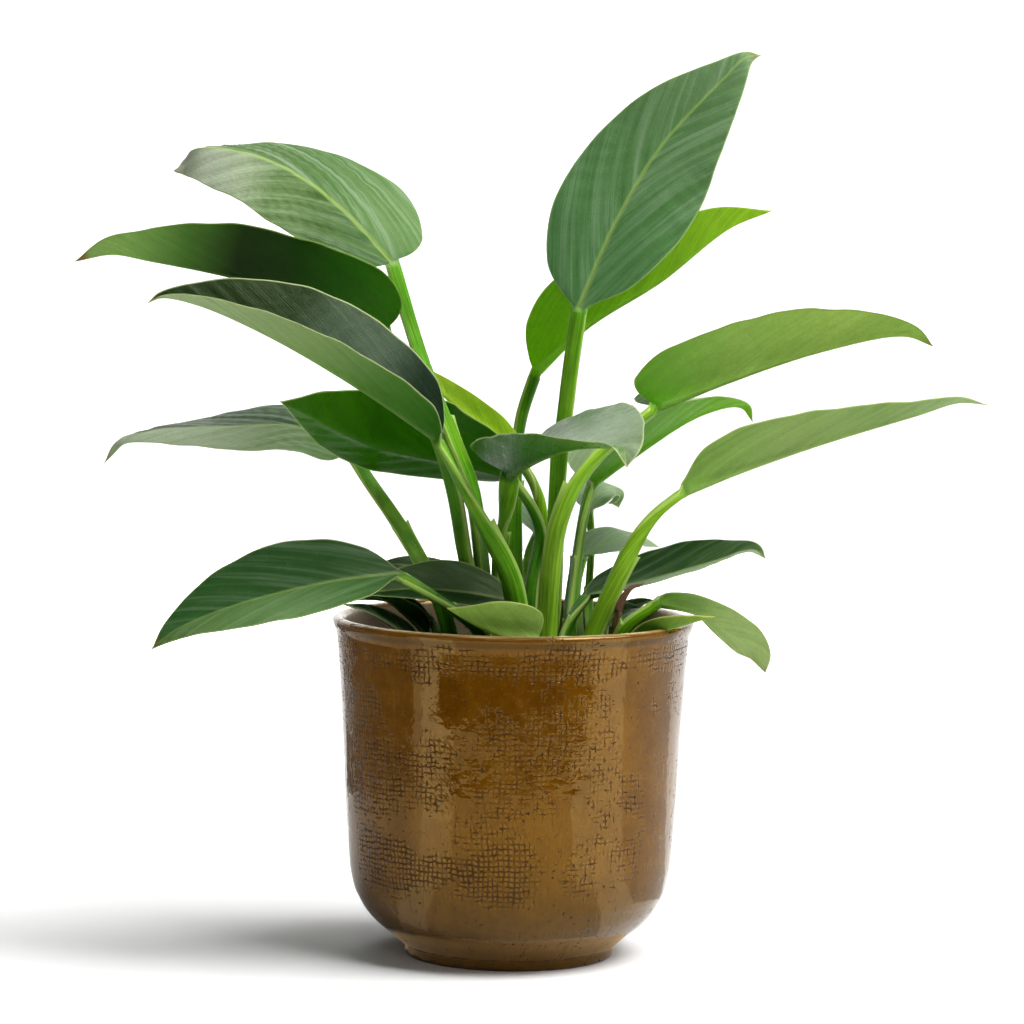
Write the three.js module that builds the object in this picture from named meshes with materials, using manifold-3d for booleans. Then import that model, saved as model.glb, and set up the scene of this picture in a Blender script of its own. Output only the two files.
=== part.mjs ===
import * as THREE from 'three'
import { mergeVertices } from 'three/addons/utils/BufferGeometryUtils.js'
import Module from 'manifold-3d'

// Potted green princess philodendron, in mm, +Z up, viewed along +Y, origin under the middle of the pot.

// Cover pot
const POT_OUTLINE = [
  [41, 4], [46.2, 8.6], [52, 13.2], [56.1, 17.8], [58.8, 22.4], [60.8, 27], [62.6, 36.3],
  [63.6, 50], [64.4, 64], [65.2, 82.5], [66.4, 101], [67.4, 117]
]
const POT_INSIDE = [[62.8, 117], [61.6, 100], [59.8, 64], [57.6, 36], [53, 23], [46, 14.5]]
const POT_FOOT_RADIUS = 40.3
const POT_FOOT_HEIGHT = 3
const POT_FLOOR = 10
const POT_FLOOR_RADIUS = 41
const LIP = [[68.6, 125], [69.8, 128.5], [69.7, 130.8], [67.8, 131.7], [65.8, 131], [64.4, 128]]
const POT_SEGMENTS = 40
const OUTLINE_STEPS = 10

// Grow pot inside the cover pot
const GROW_FOOT_RADIUS = 40.4
const GROW_TOP_RADIUS = 57.6
const GROW_RIM_RADIUS = 60
const GROW_TOP = 112
const GROW_RIM_HEIGHT = 5
const GROW_WALL = 1.2
const GROW_SEGMENTS = 28
const DRAIN_COUNT = 6
const DRAIN_RADIUS = 4
const DRAIN_CIRCLE = 26
const DRAIN_SEGMENTS = 16

// Soil
const SOIL_TOP = 105
const SOIL_EDGE = 103
const SOIL_DOME_RADIUS = 40

// Room left between pieces that touch
const GAP = 0.3
const SOCKET_GAP = 0.32

// Points nearer to each other than this are one point
const WELD = 1e-4

// Crowns: short stems that the leafstalks stand in
const CROWN_SINK = 26
const CROWN_SEGMENTS = 20
const CROWN_CORE = 0.6
const CROWN_TAPER = 6
const CROWN_SHOULDER = 4
const CROWNS = {
  crown_main: { centre: [6, -4], radius: 16, top: 117 },
  crown_right: { centre: [33, -8], radius: 9.5, top: 114 },
  crown_left: { centre: [-20, 2], radius: 9.5, top: 114 },
  crown_front: { centre: [13, -34], radius: 5.5, top: 111 }
}

// Blades: shares of the rib's length, powers of the outline's roundings, and thickness
const BASE_ROUNDING = 2.2
const TIP_ROUNDING = 1.75
const TAPER_FALL = 4
const LOBE_SPREAD = 1.5
const LOBE_FALL = 1.2
const HALF_WAVES = 3
const WAVE_SHIFT = 0.8
const FLAT_CURL = 1e-3
const KEEL_FALL = 1.3
const BLADE_THICKNESS = 0.9
const MARGIN_HALF = 0.8
const ROW_SPREAD = 1.25
const LOBE_REACH = 0.09
const CUP_REACH = 0.22
const LARGE_ROWS = { blade: 12, stalk: 8 }
const MIDDLE_ROWS = { blade: 10, stalk: 6 }
const SMALL_ROWS = { blade: 8, stalk: 5 }
const LARGE_COLUMNS = [-1, -0.56, -0.12, 0, 0.12, 0.56, 1]
const SMALL_COLUMNS = [-1, -0.5, 0, 0.5, 1]
const NARROW_ROW = 3.6
const BASE_REACH = 0.15
const LEAST_SLOPE = 0.6

// Leafstalks: a sheath low down that runs out, and a shallow channel above it
const STALK_STOP = 3.2
const STALK_TURN = 1.5
const STALK_FULLNESS = 0.95
const STALK_CHANNEL = 0.6
const CHANNEL_LEVEL = 0.3
const SHEATH_CHANNEL = 0.32
const SHEATH_EDGE = 30
const SHEATH_SHARE = 0.45
const SHEATH_NARROWING = 0.6
const SOCKET_DEPTH = 9
const SOCKET_STEPS = 4
const DEGREE = Math.PI / 180

const LARGE_LEAF = {
  rows: LARGE_ROWS, columns: LARGE_COLUMNS, cup: [20, 20], curl: [0, 0], lobe: [5, 5], widest: [0.34, 0.34],
  baseWidth: [0.6, 0.6], taper: [0.35, 0.35], wide: [11, 5], thick: [5, 4], sheath: 0.62, keel: 2.2, wave: 0,
  tone: 'leaf'
}
const MIDDLE_LEAF = { ...LARGE_LEAF, rows: MIDDLE_ROWS }
const SMALL_LEAF = {
  ...LARGE_LEAF, rows: SMALL_ROWS, columns: SMALL_COLUMNS, cup: [0, 0], lobe: [-1, -1], baseWidth: [0.3, 0.3],
  wide: [5, 4], thick: [3.6, 3], keel: 1.4
}

// Every leaf: stalk points from the crown up, base where the blade starts, rib points out to the tip,
// upper side direction, half widths, fold and curl in degrees; pairs are left and right of the rib
const LEAVES = {
  leaf_top_right: {
    ...LARGE_LEAF, crown: 'crown_main',
    stalk: [[13.5, 8.5, 108], [16, 5.5, 137], [17, 4, 184], [20, 4, 219]], base: [24, 4, 252],
    rib: [[38, 8, 285], [55, 12, 314], [78, 14, 340], [87, 16, 349], [93, 20, 350]],
    up: [-0.25, -0.93, 0.25], half: [27, 27], fold: [10, 10], cup: [0, 0], curl: [-20, -20],
    wide: [7, 6.5], wave: 1.5, lobe: [0, -3], widest: [0.34, 0.42], baseWidth: [0.4, 0.3], taper: [0.45, 0.35]
  },
  leaf_behind_top: {
    ...LARGE_LEAF, tone: 'lime', crown: 'crown_main',
    stalk: [[2.5, 10.5, 108], [0, 26, 151], [0, 38, 184], [2, 40, 205]], base: [8, 38, 225],
    rib: [[27, 38, 243], [56, 40, 261], [83, 42, 282], [100, 44, 289]],
    up: [-0.2, 0.6, 0.85], half: [25, 25], fold: [35, 30], cup: [20, 40],
    wide: [6.5, 5.5], lobe: [-2, -2], widest: [0.42, 0.42], baseWidth: [0.4, 0.4]
  },
  leaf_right_upper: {
    ...LARGE_LEAF, crown: 'crown_main',
    stalk: [[14.2, -17, 107], [14, -14, 136], [18, -14, 171], [29, -12, 192]], base: [54, -6, 214],
    rib: [[80, 0, 224], [117, 4, 236], [150, 6, 242], [161, 8, 238]],
    up: [-0.2, 0.38, 0.92], half: [24, 24], fold: [22, 30], foldTip: [30, 30], cup: [30, 35],
    wide: [9, 7], widest: [0.42, 0.42], taper: [0.1, 0.1]
  },
  leaf_right_middle: {
    ...LARGE_LEAF, crown: 'crown_right',
    stalk: [[26, -13, 107], [30, -14, 126], [43, -14, 156], [54, -12, 173]], base: [65, -8, 182],
    rib: [[85, -6, 190], [117, -4, 201], [154, -2, 212], [171, 0, 217], [182, 2, 216]],
    up: [-0.2, 0.25, 0.95], half: [22, 22], fold: [20, 24], foldTip: [20, 16], cup: [20, 40],
    wide: [9, 6], lobe: [-3, -3], baseWidth: [0.3, 0.3]
  },
  leaf_front: {
    ...LARGE_LEAF, crown: 'crown_main',
    stalk: [[-1, 1, 111], [-6, 5, 147], [-4, -4, 170]], base: [-2, -18, 188],
    rib: [[7, -48, 196], [21, -80, 203], [33, -100, 205], [39, -112, 205], [40, -118, 199]],
    up: [0.15, -0.1, 1], half: [28, 25], fold: [50, 22], foldTip: [30, 5], cup: [20, 12],
    wide: [7, 8], lobe: [3, 3], widest: [0.5, 0.5], taper: [0.1, 0.1]
  },
  leaf_behind_right: {
    ...MIDDLE_LEAF, crown: 'crown_main',
    stalk: [[19, 0, 108], [21, 4, 122], [23, 16, 141], [27, 20, 170]], base: [30, 24, 182],
    rib: [[44, 34, 191], [73, 44, 208], [89, 46, 211], [94, 48, 205]],
    up: [-0.1, 0.1, 0.98], half: [22, 22], fold: [30, 25], cup: [20, 35], wide: [6, 4.5], lobe: [2, 2]
  },
  leaf_top_left: {
    ...LARGE_LEAF, crown: 'crown_main',
    stalk: [[-7.5, 2, 108], [-12, 6, 145], [-17, -6, 181], [-26, -9, 204], [-38, 0, 234]],
    base: [-51, 8, 264],
    rib: [
      [-64, 4, 285], [-82, -2, 300], [-100, -6, 308], [-118, -8, 310], [-129, -6, 309], [-133, 0, 304], [-131, 6, 299]
    ],
    up: [0.3, -0.65, 0.7], upTip: [-0.3, -0.45, 0.85], half: [24, 27], fold: [-5, 8], foldTip: [-45, -45],
    cup: [0, 5], wide: [7, 6.5], lobe: [0, 0], widest: [0.42, 0.2], baseWidth: [0.6, 0.8], taper: [0.1, 0.1]
  },
  leaf_left_upper: {
    ...LARGE_LEAF, crown: 'crown_main',
    stalk: [[-8.5, -6.5, 108], [-19, 1, 155], [-25, -6, 185], [-37, -10, 216]], base: [-51, -8.5, 242],
    rib: [[-68, -8, 250], [-103, -12, 261], [-141, -14, 268], [-155, -14, 270], [-169, -14, 267]],
    up: [0.2, 0.42, 0.9], half: [26, 26], fold: [27, 36], cup: [15, 20],
    wide: [8, 6.5], lobe: [-3, 0], widest: [0.45, 0.45], baseWidth: [0.8, 0.5], taper: [0.1, 0.1]
  },
  leaf_left_middle: {
    ...LARGE_LEAF, crown: 'crown_main',
    stalk: [[3, -18.5, 107], [-1, -24, 146], [-13, -26, 171], [-22, -28, 188]], base: [-30, -30, 203],
    rib: [[-56, -38, 218], [-91, -46, 238], [-119, -50, 252], [-133, -50, 255], [-138, -50, 253]],
    up: [0.2, -0.25, 0.92], half: [24, 26], fold: [42, 55], cup: [15, 15],
    wide: [9.5, 7], lobe: [-3, -4], widest: [0.42, 0.42], baseWidth: [0.5, 0.5]
  },
  leaf_left_lower: {
    ...LARGE_LEAF, crown: 'crown_main',
    stalk: [[5, -6, 113], [7, 5, 145], [10, 12, 163], [7, 14, 172]], base: [-3, 18, 186],
    rib: [[-30, 22, 191], [-53, 12, 196], [-68, -4, 203], [-79, -20, 210], [-89, -38, 216]],
    up: [0, 0.4, 0.9], upTip: [0, 0.85, 0.5], half: [29, 19], fold: [14, -15], foldTip: [38, -10],
    cup: [15, 5], wide: [6, 4.5], lobe: [3, 3]
  },
  leaf_young: {
    ...MIDDLE_LEAF, tone: 'lime', crown: 'crown_main',
    stalk: [[8, 2, 113], [9, 11, 135], [12, 19, 158], [8, 22, 180]], base: [2, 24, 190],
    rib: [[-12, 25, 202], [-30, 27, 217], [-45, 28, 231]],
    up: [0, 0.3, 0.9], half: [9, 9], fold: [50, 40], wide: [6, 4.5], lobe: [0, 0], baseWidth: [0.4, 0.4]
  },
  leaf_far_left: {
    ...LARGE_LEAF, crown: 'crown_left',
    stalk: [[-21, 10, 108], [-29, 14, 136], [-46, 24, 165], [-57, 30, 180]], base: [-66, 33, 193],
    rib: [[-86, 30, 202], [-112, 26, 202], [-142, 24, 200], [-155, 24, 196], [-161, 24, 187]],
    up: [0.1, -0.3, 0.95], half: [23, 22], fold: [-5, 8], foldTip: [0, -25], cup: [0, 0],
    wide: [6.5, 6], lobe: [2, 2]
  },
  leaf_front_left_low: {
    ...LARGE_LEAF, crown: 'crown_main',
    stalk: [[-5.5, -13.5, 107], [-13, -32, 130], [-28, -41, 142]], base: [-44, -44, 152],
    rib: [[-69, -50, 149], [-105, -56, 140], [-126, -58, 131], [-135, -58, 124]],
    up: [0.1, -0.47, 0.88], half: [24, 24], fold: [12, 14], cup: [0, 0],
    wide: [8, 5.5], lobe: [-3, -3], widest: [0.42, 0.42], baseWidth: [0.3, 0.3], taper: [0.15, 0.15]
  },
  leaf_right_low: {
    ...MIDDLE_LEAF, crown: 'crown_main',
    stalk: [[20, -7, 108], [20, -1, 126]], base: [29, 8, 140],
    rib: [[55, 4, 147], [80, 0, 155], [92, -4, 159], [97, -6, 156]],
    up: [-0.1, -0.3, 0.95], half: [18, 18], fold: [15, 17], cup: [0, 0],
    wide: [6, 5], lobe: [0, 0], widest: [0.45, 0.45], baseWidth: [0.3, 0.3], taper: [0.1, 0.1]
  },
  leaf_over_rim_right: {
    ...MIDDLE_LEAF, crown: 'crown_right',
    stalk: [[39, -14, 107], [42, -25, 129]], base: [56, -26, 141],
    rib: [[69, -28, 136], [81, -32, 127], [93, -34, 120], [96, -34, 115]],
    up: [0.3, 0.5, 0.75], upTip: [0.8, 0.5, 0.4], half: [13, 17], fold: [0, 25], cup: [40, 10],
    wide: [6, 5], lobe: [2, 2], widest: [0.55, 0.55], taper: [0, 0]
  },
  leaf_left_low_inner: {
    ...MIDDLE_LEAF, crown: 'crown_main',
    stalk: [[0, -9, 109], [2, -11, 124]], base: [-2, -11.5, 139],
    rib: [[-17, -17, 142], [-36, -23, 144], [-54, -29, 143], [-60, -33, 142]],
    up: [0.1, -0.45, 0.85], half: [14, 16], fold: [15, 15], cup: [0, 0], wide: [5, 4], lobe: [-2, -2],
    baseWidth: [0.3, 0.3]
  },
  leaf_small_front: {
    ...MIDDLE_LEAF, tone: 'lime', crown: 'crown_front',
    stalk: [[13, -38, 107], [13, -43, 116], [12, -45.5, 122]], base: [8, -46.5, 127],
    rib: [[-1, -48, 129], [-9, -50, 132], [-16, -50, 135], [-25, -50, 140]],
    up: [0, 0.3, 0.9], half: [15, 12], fold: [45, 50], wide: [5, 4], lobe: [1, 1], widest: [0.3, 0.3]
  },
  leaf_small_left_1: {
    ...SMALL_LEAF, tone: 'lime', crown: 'crown_left',
    stalk: [[-25, -5, 107], [-26, -18, 115]], base: [-34, -26, 123],
    rib: [[-43, -28, 129], [-55, -30, 136], [-65, -32, 139]],
    up: [0.3, -0.3, 0.8], half: [7, 6], fold: [20, 20]
  },
  leaf_small_left_2: {
    ...SMALL_LEAF, tone: 'lime', crown: 'crown_left',
    stalk: [[-28, 1, 107], [-28, -7, 117]], base: [-33, -12, 126],
    rib: [[-42, -14, 134], [-49, -16, 139], [-56, -18, 141]],
    up: [0.2, -0.2, 0.9], half: [8, 7], fold: [55, 60]
  },
  leaf_small_left_3: {
    ...SMALL_LEAF, crown: 'crown_left',
    stalk: [[-26.5, 7, 107], [-28, 3, 120]], base: [-32, 0, 131],
    rib: [[-48, -6, 138], [-63, -14, 139], [-76, -20, 138]],
    up: [0.1, -0.1, 0.95], half: [8, 8], fold: [20, 30], wide: [4.5, 4]
  },
  leaf_left_low_back: {
    ...SMALL_LEAF, crown: 'crown_left',
    stalk: [[-15, 8, 107], [-14, 18, 121]], base: [-17, 29, 135],
    rib: [[-29, 30, 144], [-43, 28, 148], [-56, 26, 148]],
    up: [0.1, -0.5, 0.85], half: [8, 8], fold: [10, 10], wide: [4.5, 4]
  },
  leaf_small_right_1: {
    ...SMALL_LEAF, tone: 'lime', crown: 'crown_right',
    stalk: [[32.5, -16.5, 107], [36, -28, 114]], base: [42, -31, 120],
    rib: [[50, -32, 129], [57, -36, 135], [66, -41, 137], [76, -44, 138]],
    up: [-0.1, 0.35, 0.9], half: [10, 11], fold: [30, 50]
  },
  leaf_small_right_2: {
    ...SMALL_LEAF, crown: 'crown_right',
    stalk: [[39, -2, 107], [36, 7, 118]], base: [38, 10, 126],
    rib: [[44, 12, 133], [50, 14, 136], [56, 14, 137]],
    up: [-0.2, -0.45, 0.85], half: [5, 5], fold: [15, 15], wide: [4, 3], lobe: [0, 0], keel: 0.8
  },
  leaf_small_right_3: {
    ...SMALL_LEAF, crown: 'crown_right',
    stalk: [[41, -8, 107], [38, -8.5, 117], [35.5, -9.5, 124]], base: [35.5, -9, 129],
    rib: [[39, -5, 133], [45, 0, 135], [51, 4, 135]],
    up: [-0.2, -0.45, 0.85], half: [8, 8], fold: [15, 15], wide: [4, 3], lobe: [0, 0], keel: 0.8
  },
  leaf_back_1: {
    ...SMALL_LEAF, tone: 'lime', crown: 'crown_main',
    stalk: [[8, 11.5, 107], [6, 40, 134], [5, 46, 149]], base: [9, 50, 160],
    rib: [[8, 54, 164], [5, 60, 169], [2, 68, 171]],
    up: [0.2, -0.6, 0.75], half: [7, 7], fold: [10, 10], wide: [3.5, 3], lobe: [0, 0], baseWidth: [0.4, 0.4]
  },
  leaf_back_2: {
    ...SMALL_LEAF, tone: 'lime', crown: 'crown_right',
    stalk: [[33, 0, 107], [30, 46, 133], [31, 62, 156]], base: [30, 66, 168],
    rib: [[33, 68, 173], [37, 70, 175], [40, 72, 173], [42, 73, 168]],
    up: [-0.3, -0.5, 0.8], half: [9, 9], fold: [10, 10], wide: [4, 3], lobe: [0, 0], baseWidth: [0.4, 0.4]
  },
  leaf_back_3: {
    ...SMALL_LEAF, tone: 'lime', crown: 'crown_right',
    stalk: [[27, -2, 107], [25, 34, 139]], base: [28, 42, 152],
    rib: [[34, 46, 155], [43, 50, 157], [50, 54, 156], [58, 56, 154]],
    up: [-0.1, -0.4, 0.9], half: [11, 11], fold: [10, 10], wide: [4.5, 3], lobe: [0, 0], baseWidth: [0.4, 0.4]
  },
  dry_sheath: {
    ...SMALL_LEAF, tone: 'dry', crown: 'crown_right',
    stalk: [[35, -12, 112], [39, -19, 130]], base: [40, -19, 136],
    rib: [[41, -19, 139], [45, -19, 145], [50, -18, 147]],
    up: [-0.6, 0.6, 0.2], half: [3, 3], fold: [40, 40], wide: [4, 4], lobe: [0, 0], baseWidth: [0.8, 0.8]
  }
}

const wasm = await Module()
wasm.setup()

function vector(values) {
  return new THREE.Vector3(...values)
}

function clamp01(value) {
  return Math.min(1, Math.max(0, value))
}

// Half width of a blade as a share of its greatest, along the rib
function bladeOutline(s, widest, baseWidth, taper) {
  if (s < widest) {
    return baseWidth + (1 - baseWidth) * (1 - Math.pow(1 - s / widest, BASE_ROUNDING))
  }
  const x = clamp01((s - widest) / (1 - widest))
  return (1 - Math.pow(x, TIP_ROUNDING)) * (1 - taper * Math.pow(x, TAPER_FALL))
}

// Upper side, right side and run of a curve at a place on it
function frameAt(curve, place, upper, along = curve.getTangentAt(place)) {
  const normal = upper.clone().addScaledVector(along, -upper.dot(along)).normalize()
  const right = new THREE.Vector3().crossVectors(along, normal)
  return { centre: curve.getPointAt(place), along, normal, right }
}

function curveThrough(points) {
  return new THREE.CatmullRomCurve3(points.map(vector), false, 'centripetal')
}

// A point of the middle surface of a blade, t from the left margin (-1) over the rib (0) to the right (1)
function bladePoint(leaf, frame, s, t) {
  const side = t > 0 ? 1 : 0
  const reach = Math.abs(t)
  const share = bladeOutline(s, leaf.widest[side], leaf.baseWidth[side], leaf.taper[side])
  const width = Math.max(MARGIN_HALF, leaf.half[side] * share * (s < 1 ? 1 : 0))
  const foldTip = leaf.foldTip ?? leaf.fold
  const cup = leaf.cup[side] * Math.exp(-s / CUP_REACH)
  const fold = (leaf.fold[side] * (1 - s) + foldTip[side] * s + cup) * DEGREE
  const bend = leaf.curl[side] * DEGREE || FLAT_CURL
  const out = width / bend * (Math.sin(fold + bend * reach) - Math.sin(fold))
  const waving = Math.sin(HALF_WAVES * Math.PI * s + WAVE_SHIFT * side) * Math.sin(Math.PI * s)
  const rise = width / bend * (Math.cos(fold) - Math.cos(fold + bend * reach))
  const lift = rise + leaf.wave * reach * reach * waving
  const back = leaf.lobe[side] * Math.pow(reach, LOBE_SPREAD) * Math.exp(-Math.pow(s / LOBE_REACH, LOBE_FALL))
  return frame.centre.clone()
    .addScaledVector(frame.right, t < 0 ? -out : out)
    .addScaledVector(frame.normal, lift)
    .addScaledVector(frame.along, -back)
}

function bladeGrid(leaf) {
  const curve = curveThrough([leaf.base, ...leaf.rib])
  const up = vector(leaf.up).normalize()
  const upTip = vector(leaf.upTip ?? leaf.up).normalize()
  const arriving = curveThrough([...leaf.stalk, leaf.base]).getTangentAt(1)
  const turning = arriving.add(curve.getTangentAt(0)).normalize()
  const grid = []
  for (let i = 0; i < leaf.rows.blade; i++) {
    const s = Math.pow(i / (leaf.rows.blade - 1), ROW_SPREAD)
    const frame = frameAt(curve, s, up.clone().lerp(upTip, s), i === 0 ? turning : undefined)
    grid.push({ s, frame, points: leaf.columns.map(t => bladePoint(leaf, frame, s, t)) })
  }
  return grid
}

// Sections of a blade: its middle surface, thicker along the rib underneath
function bladeSections(leaf) {
  const above = leaf.columns.map(() => BLADE_THICKNESS / 2)
  return bladeGrid(leaf).map(({ s, frame, points }) => {
    const keel = leaf.keel * Math.pow(1 - s, KEEL_FALL)
    const below = leaf.columns.map(t => BLADE_THICKNESS / 2 + (t === 0 ? keel : 0))
    return { points, normal: frame.normal, above, below, free: clamp01(s / BASE_REACH) }
  })
}

// Sections of a leafstalk: channelled, with a sheath low down; grown makes them larger all round
function stalkSections(leaf, grown = 0, steps = leaf.columns.length - 1) {
  const curve = curveThrough([...leaf.stalk, leaf.base])
  const length = curve.getLength()
  const root = vector(leaf.stalk[0])
  const [x, y] = CROWNS[leaf.crown].centre
  const inward = new THREE.Vector3(x - root.x, y - root.y, 0.1).normalize()
  const up = vector(leaf.up).normalize()
  const stop = STALK_STOP + Math.max(0, ...leaf.lobe)
  const sections = []
  for (let i = 0; i < leaf.rows.stalk; i++) {
    const u = i / (leaf.rows.stalk - 1) * (1 - stop / length)
    const frame = frameAt(curve, u, inward.clone().lerp(up, Math.pow(u, STALK_TURN)))
    const sheath = 1 / (1 + Math.exp((u - leaf.sheath) * SHEATH_EDGE))
    const narrowing = Math.pow(clamp01(1 - u / leaf.sheath), SHEATH_NARROWING)
    const spread = (1 - SHEATH_SHARE) * narrowing + SHEATH_SHARE * sheath
    const width = leaf.wide[1] + (leaf.wide[0] - leaf.wide[1]) * spread
    const thick = leaf.thick[0] * (1 - u) + leaf.thick[1] * u
    const channel = SHEATH_CHANNEL * sheath * width + STALK_CHANNEL * (1 - sheath)
    const points = []
    const depths = []
    for (let j = 0; j <= steps; j++) {
      const xi = Math.sin((j / steps - 0.5) * Math.PI)
      const full = STALK_FULLNESS * thick * Math.sqrt(1 - xi * xi)
      depths.push(Math.max(BLADE_THICKNESS, full) / 2 + grown)
      points.push(frame.centre.clone()
        .addScaledVector(frame.right, xi * (width / 2 + grown))
        .addScaledVector(frame.normal, channel * (xi * xi - CHANNEL_LEVEL)))
    }
    const { normal, along } = frame
    sections.push({ points, normal, along, above: depths, below: depths, distance: u * length })
  }
  return sections
}

// Directions square to a sheet of sections: for each of its points, and for the row as a whole
function squareTo(sections, i) {
  const { points } = sections[i]
  const before = sections[Math.max(0, i - 1)].points
  const after = sections[Math.min(sections.length - 1, i + 1)].points
  const side = points.length - 1
  const whole = new THREE.Vector3()
  const own = points.map((point, j) => {
    const run = after[j].clone().sub(before[j])
    const across = points[Math.min(side, j + 1)].clone().sub(points[Math.max(0, j - 1)])
    const normal = across.clone().cross(run).normalize()
    whole.add(normal)
    return { normal, broad: clamp01(across.length() / NARROW_ROW) }
  })
  return { own, whole: whole.normalize() }
}

// Rows of upper and lower points over sections; a sheet is thick square to itself, but near its base
// along the stalk's upper side, and in narrow rows along one direction, so that its faces never cross
function rowsOver(sections) {
  return sections.map((section, i) => {
    const { points, normal, above, below, free = 0 } = section
    const square = free > 0 ? squareTo(sections, i) : undefined
    const upper = []
    const lower = []
    points.forEach((point, j) => {
      const direction = normal.clone()
      let stretch = 1
      if (square) {
        const { normal: own, broad } = square.own[j]
        direction.lerp(square.whole.clone().lerp(own, broad).normalize(), free).normalize()
        stretch = 1 / Math.max(LEAST_SLOPE, direction.dot(own))
      }
      upper.push(point.clone().addScaledVector(direction, above[j] * stretch))
      lower.push(point.clone().addScaledVector(direction, -below[j] * stretch))
    })
    return { upper, lower }
  })
}

// One closed solid over rows of upper and lower points, split alike on both faces
function solidOverRows(rows) {
  const count = rows[0].upper.length
  const positions = []
  for (const row of rows) {
    for (const point of [...row.upper, ...row.lower]) {
      positions.push(point.x, point.y, point.z)
    }
  }
  const top = (i, j) => i * 2 * count + j
  const under = (i, j) => i * 2 * count + count + j
  const index = []
  const end = rows.length - 1
  const side = count - 1
  for (let i = 0; i < end; i++) {
    for (let j = 0; j < side; j++) {
      index.push(top(i, j), top(i, j + 1), top(i + 1, j + 1), top(i, j), top(i + 1, j + 1), top(i + 1, j))
      index.push(under(i, j), under(i + 1, j + 1), under(i, j + 1))
      index.push(under(i, j), under(i + 1, j), under(i + 1, j + 1))
    }
    index.push(top(i, 0), top(i + 1, 0), under(i + 1, 0), top(i, 0), under(i + 1, 0), under(i, 0))
    index.push(top(i, side), under(i + 1, side), top(i + 1, side))
    index.push(top(i, side), under(i, side), under(i + 1, side))
  }
  for (let j = 0; j < side; j++) {
    index.push(top(0, j), under(0, j), under(0, j + 1), top(0, j), under(0, j + 1), top(0, j + 1))
    index.push(top(end, j), under(end, j + 1), under(end, j))
    index.push(top(end, j), top(end, j + 1), under(end, j + 1))
  }
  const geometry = new THREE.BufferGeometry()
  geometry.setAttribute('position', new THREE.Float32BufferAttribute(positions, 3))
  geometry.setIndex(index)
  return geometry
}

function leafGeometry(leaf) {
  return solidOverRows(rowsOver([...stalkSections(leaf), ...bladeSections(leaf)]))
}

// Joining and cutting
function toSolid(geometry) {
  const plain = geometry.clone()
  plain.deleteAttribute('normal')
  plain.deleteAttribute('uv')
  const merged = mergeVertices(plain, WELD)
  const mesh = new wasm.Mesh({
    numProp: 3,
    vertProperties: new Float32Array(merged.getAttribute('position').array),
    triVerts: new Uint32Array(merged.getIndex().array)
  })
  return new wasm.Manifold(mesh)
}

function toGeometry(solid) {
  const mesh = solid.getMesh()
  const geometry = new THREE.BufferGeometry()
  geometry.setAttribute('position', new THREE.Float32BufferAttribute(mesh.vertProperties, 3))
  geometry.setIndex([...mesh.triVerts])
  return geometry
}

// A turned solid from an outline of [radius, height] pairs that starts and ends on the axis
function turned(outline, segments, x = 0, y = 0) {
  const points = outline.map(([radius, height]) => new THREE.Vector2(radius, height))
  return new THREE.LatheGeometry(points, segments).rotateX(Math.PI / 2).translate(x, y, 0)
}

function smooth(points, steps) {
  const curve = new THREE.SplineCurve(points.map(([radius, height]) => new THREE.Vector2(radius, height)))
  return curve.getPoints(steps).map(point => [point.x, point.y])
}

function coverPot() {
  return turned([
    [0, 0], [POT_FOOT_RADIUS, 0], [POT_FOOT_RADIUS, POT_FOOT_HEIGHT],
    ...smooth(POT_OUTLINE, OUTLINE_STEPS),
    ...LIP,
    ...smooth(POT_INSIDE, OUTLINE_STEPS / 2),
    [POT_FLOOR_RADIUS, POT_FLOOR], [0, POT_FLOOR]
  ], POT_SEGMENTS)
}

// Inner radius of the grow pot at a height
function growInside(height) {
  const share = (height - POT_FLOOR) / (GROW_TOP - POT_FLOOR)
  return GROW_FOOT_RADIUS + (GROW_TOP_RADIUS - GROW_FOOT_RADIUS) * share - GROW_WALL
}

function growPot() {
  const foot = POT_FLOOR + GAP
  const floor = foot + GROW_WALL
  const rim = GROW_TOP - GROW_RIM_HEIGHT
  let shell = toSolid(turned([
    [0, foot], [growInside(foot) + GROW_WALL, foot],
    [growInside(rim) + GROW_WALL, rim], [GROW_RIM_RADIUS, rim], [GROW_RIM_RADIUS, GROW_TOP],
    [growInside(GROW_TOP), GROW_TOP], [growInside(floor), floor], [0, floor]
  ], GROW_SEGMENTS))
  for (let i = 0; i < DRAIN_COUNT; i++) {
    const angle = i / DRAIN_COUNT * 2 * Math.PI
    const drain = new THREE.CylinderGeometry(DRAIN_RADIUS, DRAIN_RADIUS, 4 * GROW_WALL, DRAIN_SEGMENTS)
      .rotateX(Math.PI / 2)
      .translate(DRAIN_CIRCLE * Math.cos(angle), DRAIN_CIRCLE * Math.sin(angle), foot)
    shell = shell.subtract(toSolid(drain))
  }
  return toGeometry(shell)
}

function soil() {
  const foot = POT_FLOOR + GAP + GROW_WALL + GAP
  let ball = toSolid(turned([
    [0, foot], [growInside(foot) - GAP, foot], [growInside(SOIL_EDGE) - GAP, SOIL_EDGE],
    [SOIL_DOME_RADIUS, SOIL_TOP], [0, SOIL_TOP]
  ], GROW_SEGMENTS))
  for (const { centre, radius } of Object.values(CROWNS)) {
    const bottom = SOIL_TOP - CROWN_SINK - GAP
    const hole = turned([
      [0, bottom], [radius + GAP, bottom], [radius + GAP, SOIL_TOP + GAP], [0, SOIL_TOP + GAP]
    ], CROWN_SEGMENTS, ...centre)
    ball = ball.subtract(toSolid(hole))
  }
  return toGeometry(ball)
}

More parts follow.
